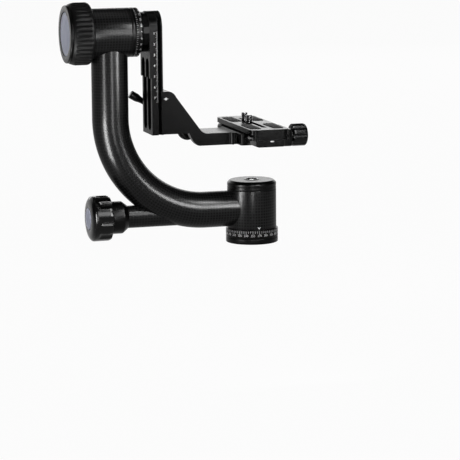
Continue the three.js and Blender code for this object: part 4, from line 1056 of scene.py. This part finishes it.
def build_clamp_body():
    low, high = box("clamp_body")
    bottom, top = 99.2, high.z
    start = box("cradle")[1].x + GAP
    left = -18.5
    plan = polygon(
        (high.x - 3, low.y), (high.x, low.y + 3),
        (high.x, high.y - 3), (high.x - 3, high.y),
        (left + 5, high.y), (left, high.y - 5),
        (left, low.y + 5), (left + 5, low.y),
    )
    body = joined(
        prism("z", plan, bottom, CLAMP_FLOOR),
        prism("z", rectangle(-22.5, 0, -40, 40, 2.5), bottom, top),
        brick(start, 0, -24, 24, bottom, 109.8),
        brick(start, high.x, -20, 20, low.z, CLAMP_FLOOR),
    )
    hook = [(-HOOK_X, top + 4), (-HOOK_X, top), (-LIP_X, CLAMP_FLOOR + LIP_HEIGHT)]
    channel = polygon((-LIP_X, CLAMP_FLOOR), (4, CLAMP_FLOOR), (4, top + 4), *hook)
    outside, slant, bevel_top = left - 4, left + 7.4, bottom + 2.8
    bevel = polygon((outside, 90), (slant, 90), (slant, bottom), (left, bevel_top), (outside, bevel_top))
    bevels = [prism("y", bevel, y0, y1) for y0, y1 in ((low.y - 1, -40), (40, high.y + 1))]
    milled("clamp_body", cut(body, prism("y", channel, -44, 44), *bevels), 0.35, satin)


def build_clamp_jaw():
    low, high = box("clamp_jaw")
    top = box("clamp_body")[1].z
    inner = box("clamp_body")[1].x + GAP
    bevel = 1.5
    section = polygon(
        (inner, low.z), (high.x - bevel, low.z),
        (high.x, low.z + bevel), (high.x, top - bevel),
        (high.x - bevel, top), (HOOK_X, top),
        (LIP_X, CLAMP_FLOOR + LIP_HEIGHT), (LIP_X, CLAMP_FLOOR),
        (inner, CLAMP_FLOOR),
    )
    outline = prism("z", rectangle(HOOK_X - 3, high.x, low.y, high.y, 3), low.z, top)
    milled("clamp_jaw", meeting(prism("y", section, low.y, high.y), outline), 0.35, satin)


def build_clamp_knob():
    low, high = box("clamp_knob")
    centre = (0, 0, middle("clamp_knob").z)
    radius, boss = 10.9, 7
    start, end = low.x + 3.7, high.x
    corners = [
        (0, low.x, 0), (boss, low.x, 0.2),
        (boss, start, 0.1), (radius - 1.2, start, 0.3),
        (radius, start + 1.2, 0.4),
        *straight(radius, start + 1.6, end - 1.8, 6),
        (radius, end - 1.4, 0.5), (radius - 1.5, end, 0.5),
        (0, end, 0),
    ]
    flutes = fluted(8, radius, flute_radius=2.6, depth=1.6, start=start - 2, end=end + 2)

    def fluted_side(angle, along, outer):
        return flutes(angle, along, outer) if outer > boss + 1 else outer

    knob = turned("x", centre, corners, 192, fluted_side)
    piece("clamp_knob", "moulded", knob, knob_plastic)


# Camera plate
def build_plate():
    low, high = box("camera_plate")
    half, bottom, top = high.x, low.z, high.z
    neck, neck_low, neck_high = half - 3.8, bottom + 4.8, top - 4.8
    side = mirrored(
        (half, bottom), (half, bottom + 1),
        (neck, neck_low), (neck, neck_high),
        (half, neck_high, 0.5), (half, top),
    )
    corner = 6.5
    plan = [(-half, low.y, corner), (half, low.y, corner), (half, high.y, corner), (-half, high.y, corner)]
    plate = meeting(prism("y", polygon(*side), low.y, high.y), prism("z", rounded(plan, 10), bottom, top))
    past = 4
    slot_low, slot_high, slot_half, head_half, head_depth = -44, 36.5, 2.5, 6.3, 2.8
    slot = rectangle(-slot_half, slot_half, slot_low, slot_high, slot_half)
    head_room = rectangle(-head_half, head_half, slot_low, slot_high, head_half)
    plate = cut(plate, prism("z", slot, bottom - past, top + past))
    plate = cut(plate, prism("z", head_room, bottom - past, top - head_depth))
    pads = {f"plate_pad_{i}": box(f"plate_pad_{i}") for i in (1, 2, 3, 4)}
    recesses = []
    for a, b in pads.values():
        outline = rectangle(a.x - GAP, b.x + GAP, a.y - GAP, b.y + GAP, 3 + GAP)
        recesses.append(prism("z", outline, a.z - GAP, top + past))
    milled("camera_plate", cut(plate, *recesses), 0.4, plate_satin)
    for node, (a, b) in pads.items():
        pad = softened(prism("z", rectangle(a.x, b.x, a.y, b.y, 3), a.z, b.z), 0.25)
        piece(node, "rubber", pad, pad_rubber)


def build_camera_screw(node):
    """Quarter inch screw with a real thread above the plate and a coin slot below it."""
    pitch, radius, thread_depth = 1.27, 3.15, 0.55
    head_radius, neck_radius = 5.7, 2.1
    low, high = box(node)
    centre = middle(node)
    centre.z = 0
    neck = low.z + 4.3
    thread_start = box("camera_plate")[1].z + GAP
    tip = high.z - 0.5

    def thread(angle, along, outer):
        if outer < 3 or along < thread_start or along > tip:
            return outer
        phase = (along / pitch - angle / (2 * math.pi)) % 1
        return outer - thread_depth * abs(2 * phase - 1)

    corners = [
        (0, low.z, 0), (head_radius, low.z, 0.4),
        (head_radius, neck, 0.3), (neck_radius, neck, 0),
        (neck_radius, thread_start - 0.1, 0), (radius, thread_start - 0.1, 0),
        *straight(radius, thread_start, tip, 48),
        (radius, tip, 0), (2.5, high.z, 0.2),
        (0, high.z, 0),
    ]
    screw = turned("z", centre, corners, SMALL_SIDES, thread)
    x, y, _ = centre
    coin = brick(x - 0.8, x + 0.8, y - 6.5, y + 6.5, low.z - 1, low.z + 1.5)
    piece(node, "threaded", cut(screw, coin), dark_steel, sharp=28)


# Marks: flat forms near the XY plane, laid on a surface by a function of a point
def digits(text, height):
    """A number as a bmesh, centred; its font's digits are 0.72 of the font size."""
    data = bpy.data.curves.new("digits", "FONT")
    data.body = text
    data.size = height / 0.72
    data.align_x = "CENTER"
    data.extrude = MARK_DEPTH / 2
    data.resolution_u = 3
    made = add_object("digits", data)
    solid = made.evaluated_get(bpy.context.evaluated_depsgraph_get())
    bm = bmesh.new()
    bm.from_mesh(solid.to_mesh())
    solid.to_mesh_clear()
    bpy.data.objects.remove(made)
    top = max(vert.co.y for vert in bm.verts)
    bmesh.ops.translate(bm, verts=bm.verts, vec=(0, -top / 2, 0))
    return bm


def printed(outline):
    return prism("z", outline, -MARK_DEPTH / 2, MARK_DEPTH / 2)


def bar(x0, x1, y0, y1):
    return printed(rectangle(x0, x1, y0, y1))


def round_ring(axis, centre, radius, start, along):
    """Lays marks round a cylinder at an angle, standing along its axis."""

    def lay(point):
        return on_axis(axis, centre, radius + point.z, start + point.x / radius, along + point.y)

    return lay


def on_front(x, y, z):
    """Lays marks on a face that looks to -Y."""

    def lay(point):
        return Vector((x + point.x, y - point.z, z + point.y))

    return lay


def print_marks(name, body, marks):
    """One piece of all marks; each is (bmesh, function that lays a point)."""
    whole = bmesh.new()
    for bm, lay in marks:
        for vert in bm.verts:
            vert.co = lay(vert.co)
        mesh = mesh_of("mark", bm)
        whole.from_mesh(mesh)
        bpy.data.meshes.remove(mesh)
    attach(new_object(name, whole, paint), body)


def degree_scale(surface, zero, place, ticks, half_width, number_place, number_height):
    """A tick every 5 degrees, and a longer one with its number every 15; ticks are (long, short)."""
    marks = []
    for i in range(72):
        low, high = sorted((0, ticks[0] if i % 3 == 0 else ticks[1]))
        lay = round_ring(*surface, math.radians(zero + 5 * i), place)
        marks.append((bar(-half_width, half_width, low, high), lay))
    for degrees in range(0, 360, 15):
        lay = round_ring(*surface, math.radians(zero + degrees), number_place)
        marks.append((digits(str(degrees), number_height), lay))
    return marks


def rail_scale():
    """Seven numbers and a tick about every millimetre, down the rail's front."""
    low, _ = box("swing_rail")
    step, top = 1.02, 207.7
    marks = []
    for i in range(7):
        place = on_front(low.x + 4.4, low.y, top - 1 - 10 * step * i)
        marks.append((digits(str(i + 1), 2.3), place))
    for i in range(66):
        length = 1.8 if i % 5 == 0 else 1.1
        place = on_front(low.x + 7.6, low.y, top - step * i)
        marks.append((bar(-length, 0, -0.09, 0.09), place))
    return marks


def build_marks():
    start = box("tilt_index_ring")[0].x
    surface = ("x", TILT_AXIS, radius_of("tilt_index_ring"))
    scale = degree_scale(surface, 175, start + 0.8, (1.8, 1.1), 0.11, start + 5.2, 1.6)
    print_marks("tilt_scale_marks", "swing", scale)
    radius, _, top = box("pan_index_ring")[1]
    scale = degree_scale(("z", ORIGIN, radius), 0, top - 0.5, (-3.2, -2.2), 0.14, top - 4.9, 2.1)
    print_marks("pan_scale_marks", "base", scale)
    print_marks("rail_scale_marks", "swing", rail_scale())

    pointer = printed(polygon((-1.6, 1.2), (1.6, 1.2), (0, -1.4)))
    place = round_ring("z", ORIGIN, PAN_RADIUS, math.radians(-90), box("pan_housing")[0].z + 1.7)
    print_marks("pan_pointer_mark", "arm", [(pointer, place)])
    low, high = box("cradle")
    points = [(-2.6, 0), (-0.7, -0.5), (0, -1.6), (0.7, -0.5), (2.6, 0), (0.7, 0.5), (0, 1.6), (-0.7, 0.5)]
    place = on_front(low.x + 3.3, low.y, high.z - 6.5)
    print_marks("cradle_lozenge_mark", "cradle_block", [(printed(polygon(*points)), place)])
    turns = [t * math.pi / 12 for t in range(24)]
    oval = printed([Vector((1.9 * math.cos(turn), 0.75 * math.sin(turn))) for turn in turns])
    place = on_front(2.2, box("clamp_body")[0].y, 104.6)
    print_marks("clamp_oval_mark", "cradle_block", [(oval, place)])


# CAD nodes that show as they are: steel unless listed here
OTHER_FINISHES = {
    "pan_brake_shoe": brass,
    "tilt_brake_disc": brass,
    "pan_liner": bare_aluminium,
    "tilt_liner": bare_aluminium,
    "tilt_shaft": polished,
    "slot_washer_1": knob_plastic,
    "slot_washer_2": knob_plastic,
}


def dress_shown_nodes():
    for name, node in frame["nodes"].items():
        if node.hide_render:
            continue
        for slot in node.material_slots:
            slot.material = OTHER_FINISHES.get(name, steel)


look_through()
light_the_studio()
lay_floor()
build_base()
build_pan_housing()
build_arm()
build_pan_lock()
build_tilt_axis()
build_rail()
build_cradle()
build_height_jaw()
build_lever()
build_clamp_body()
build_clamp_jaw()
build_clamp_knob()
build_plate()
build_camera_screw("camera_screw_1")
build_camera_screw("camera_screw_2")
build_marks()
dress_shown_nodes()
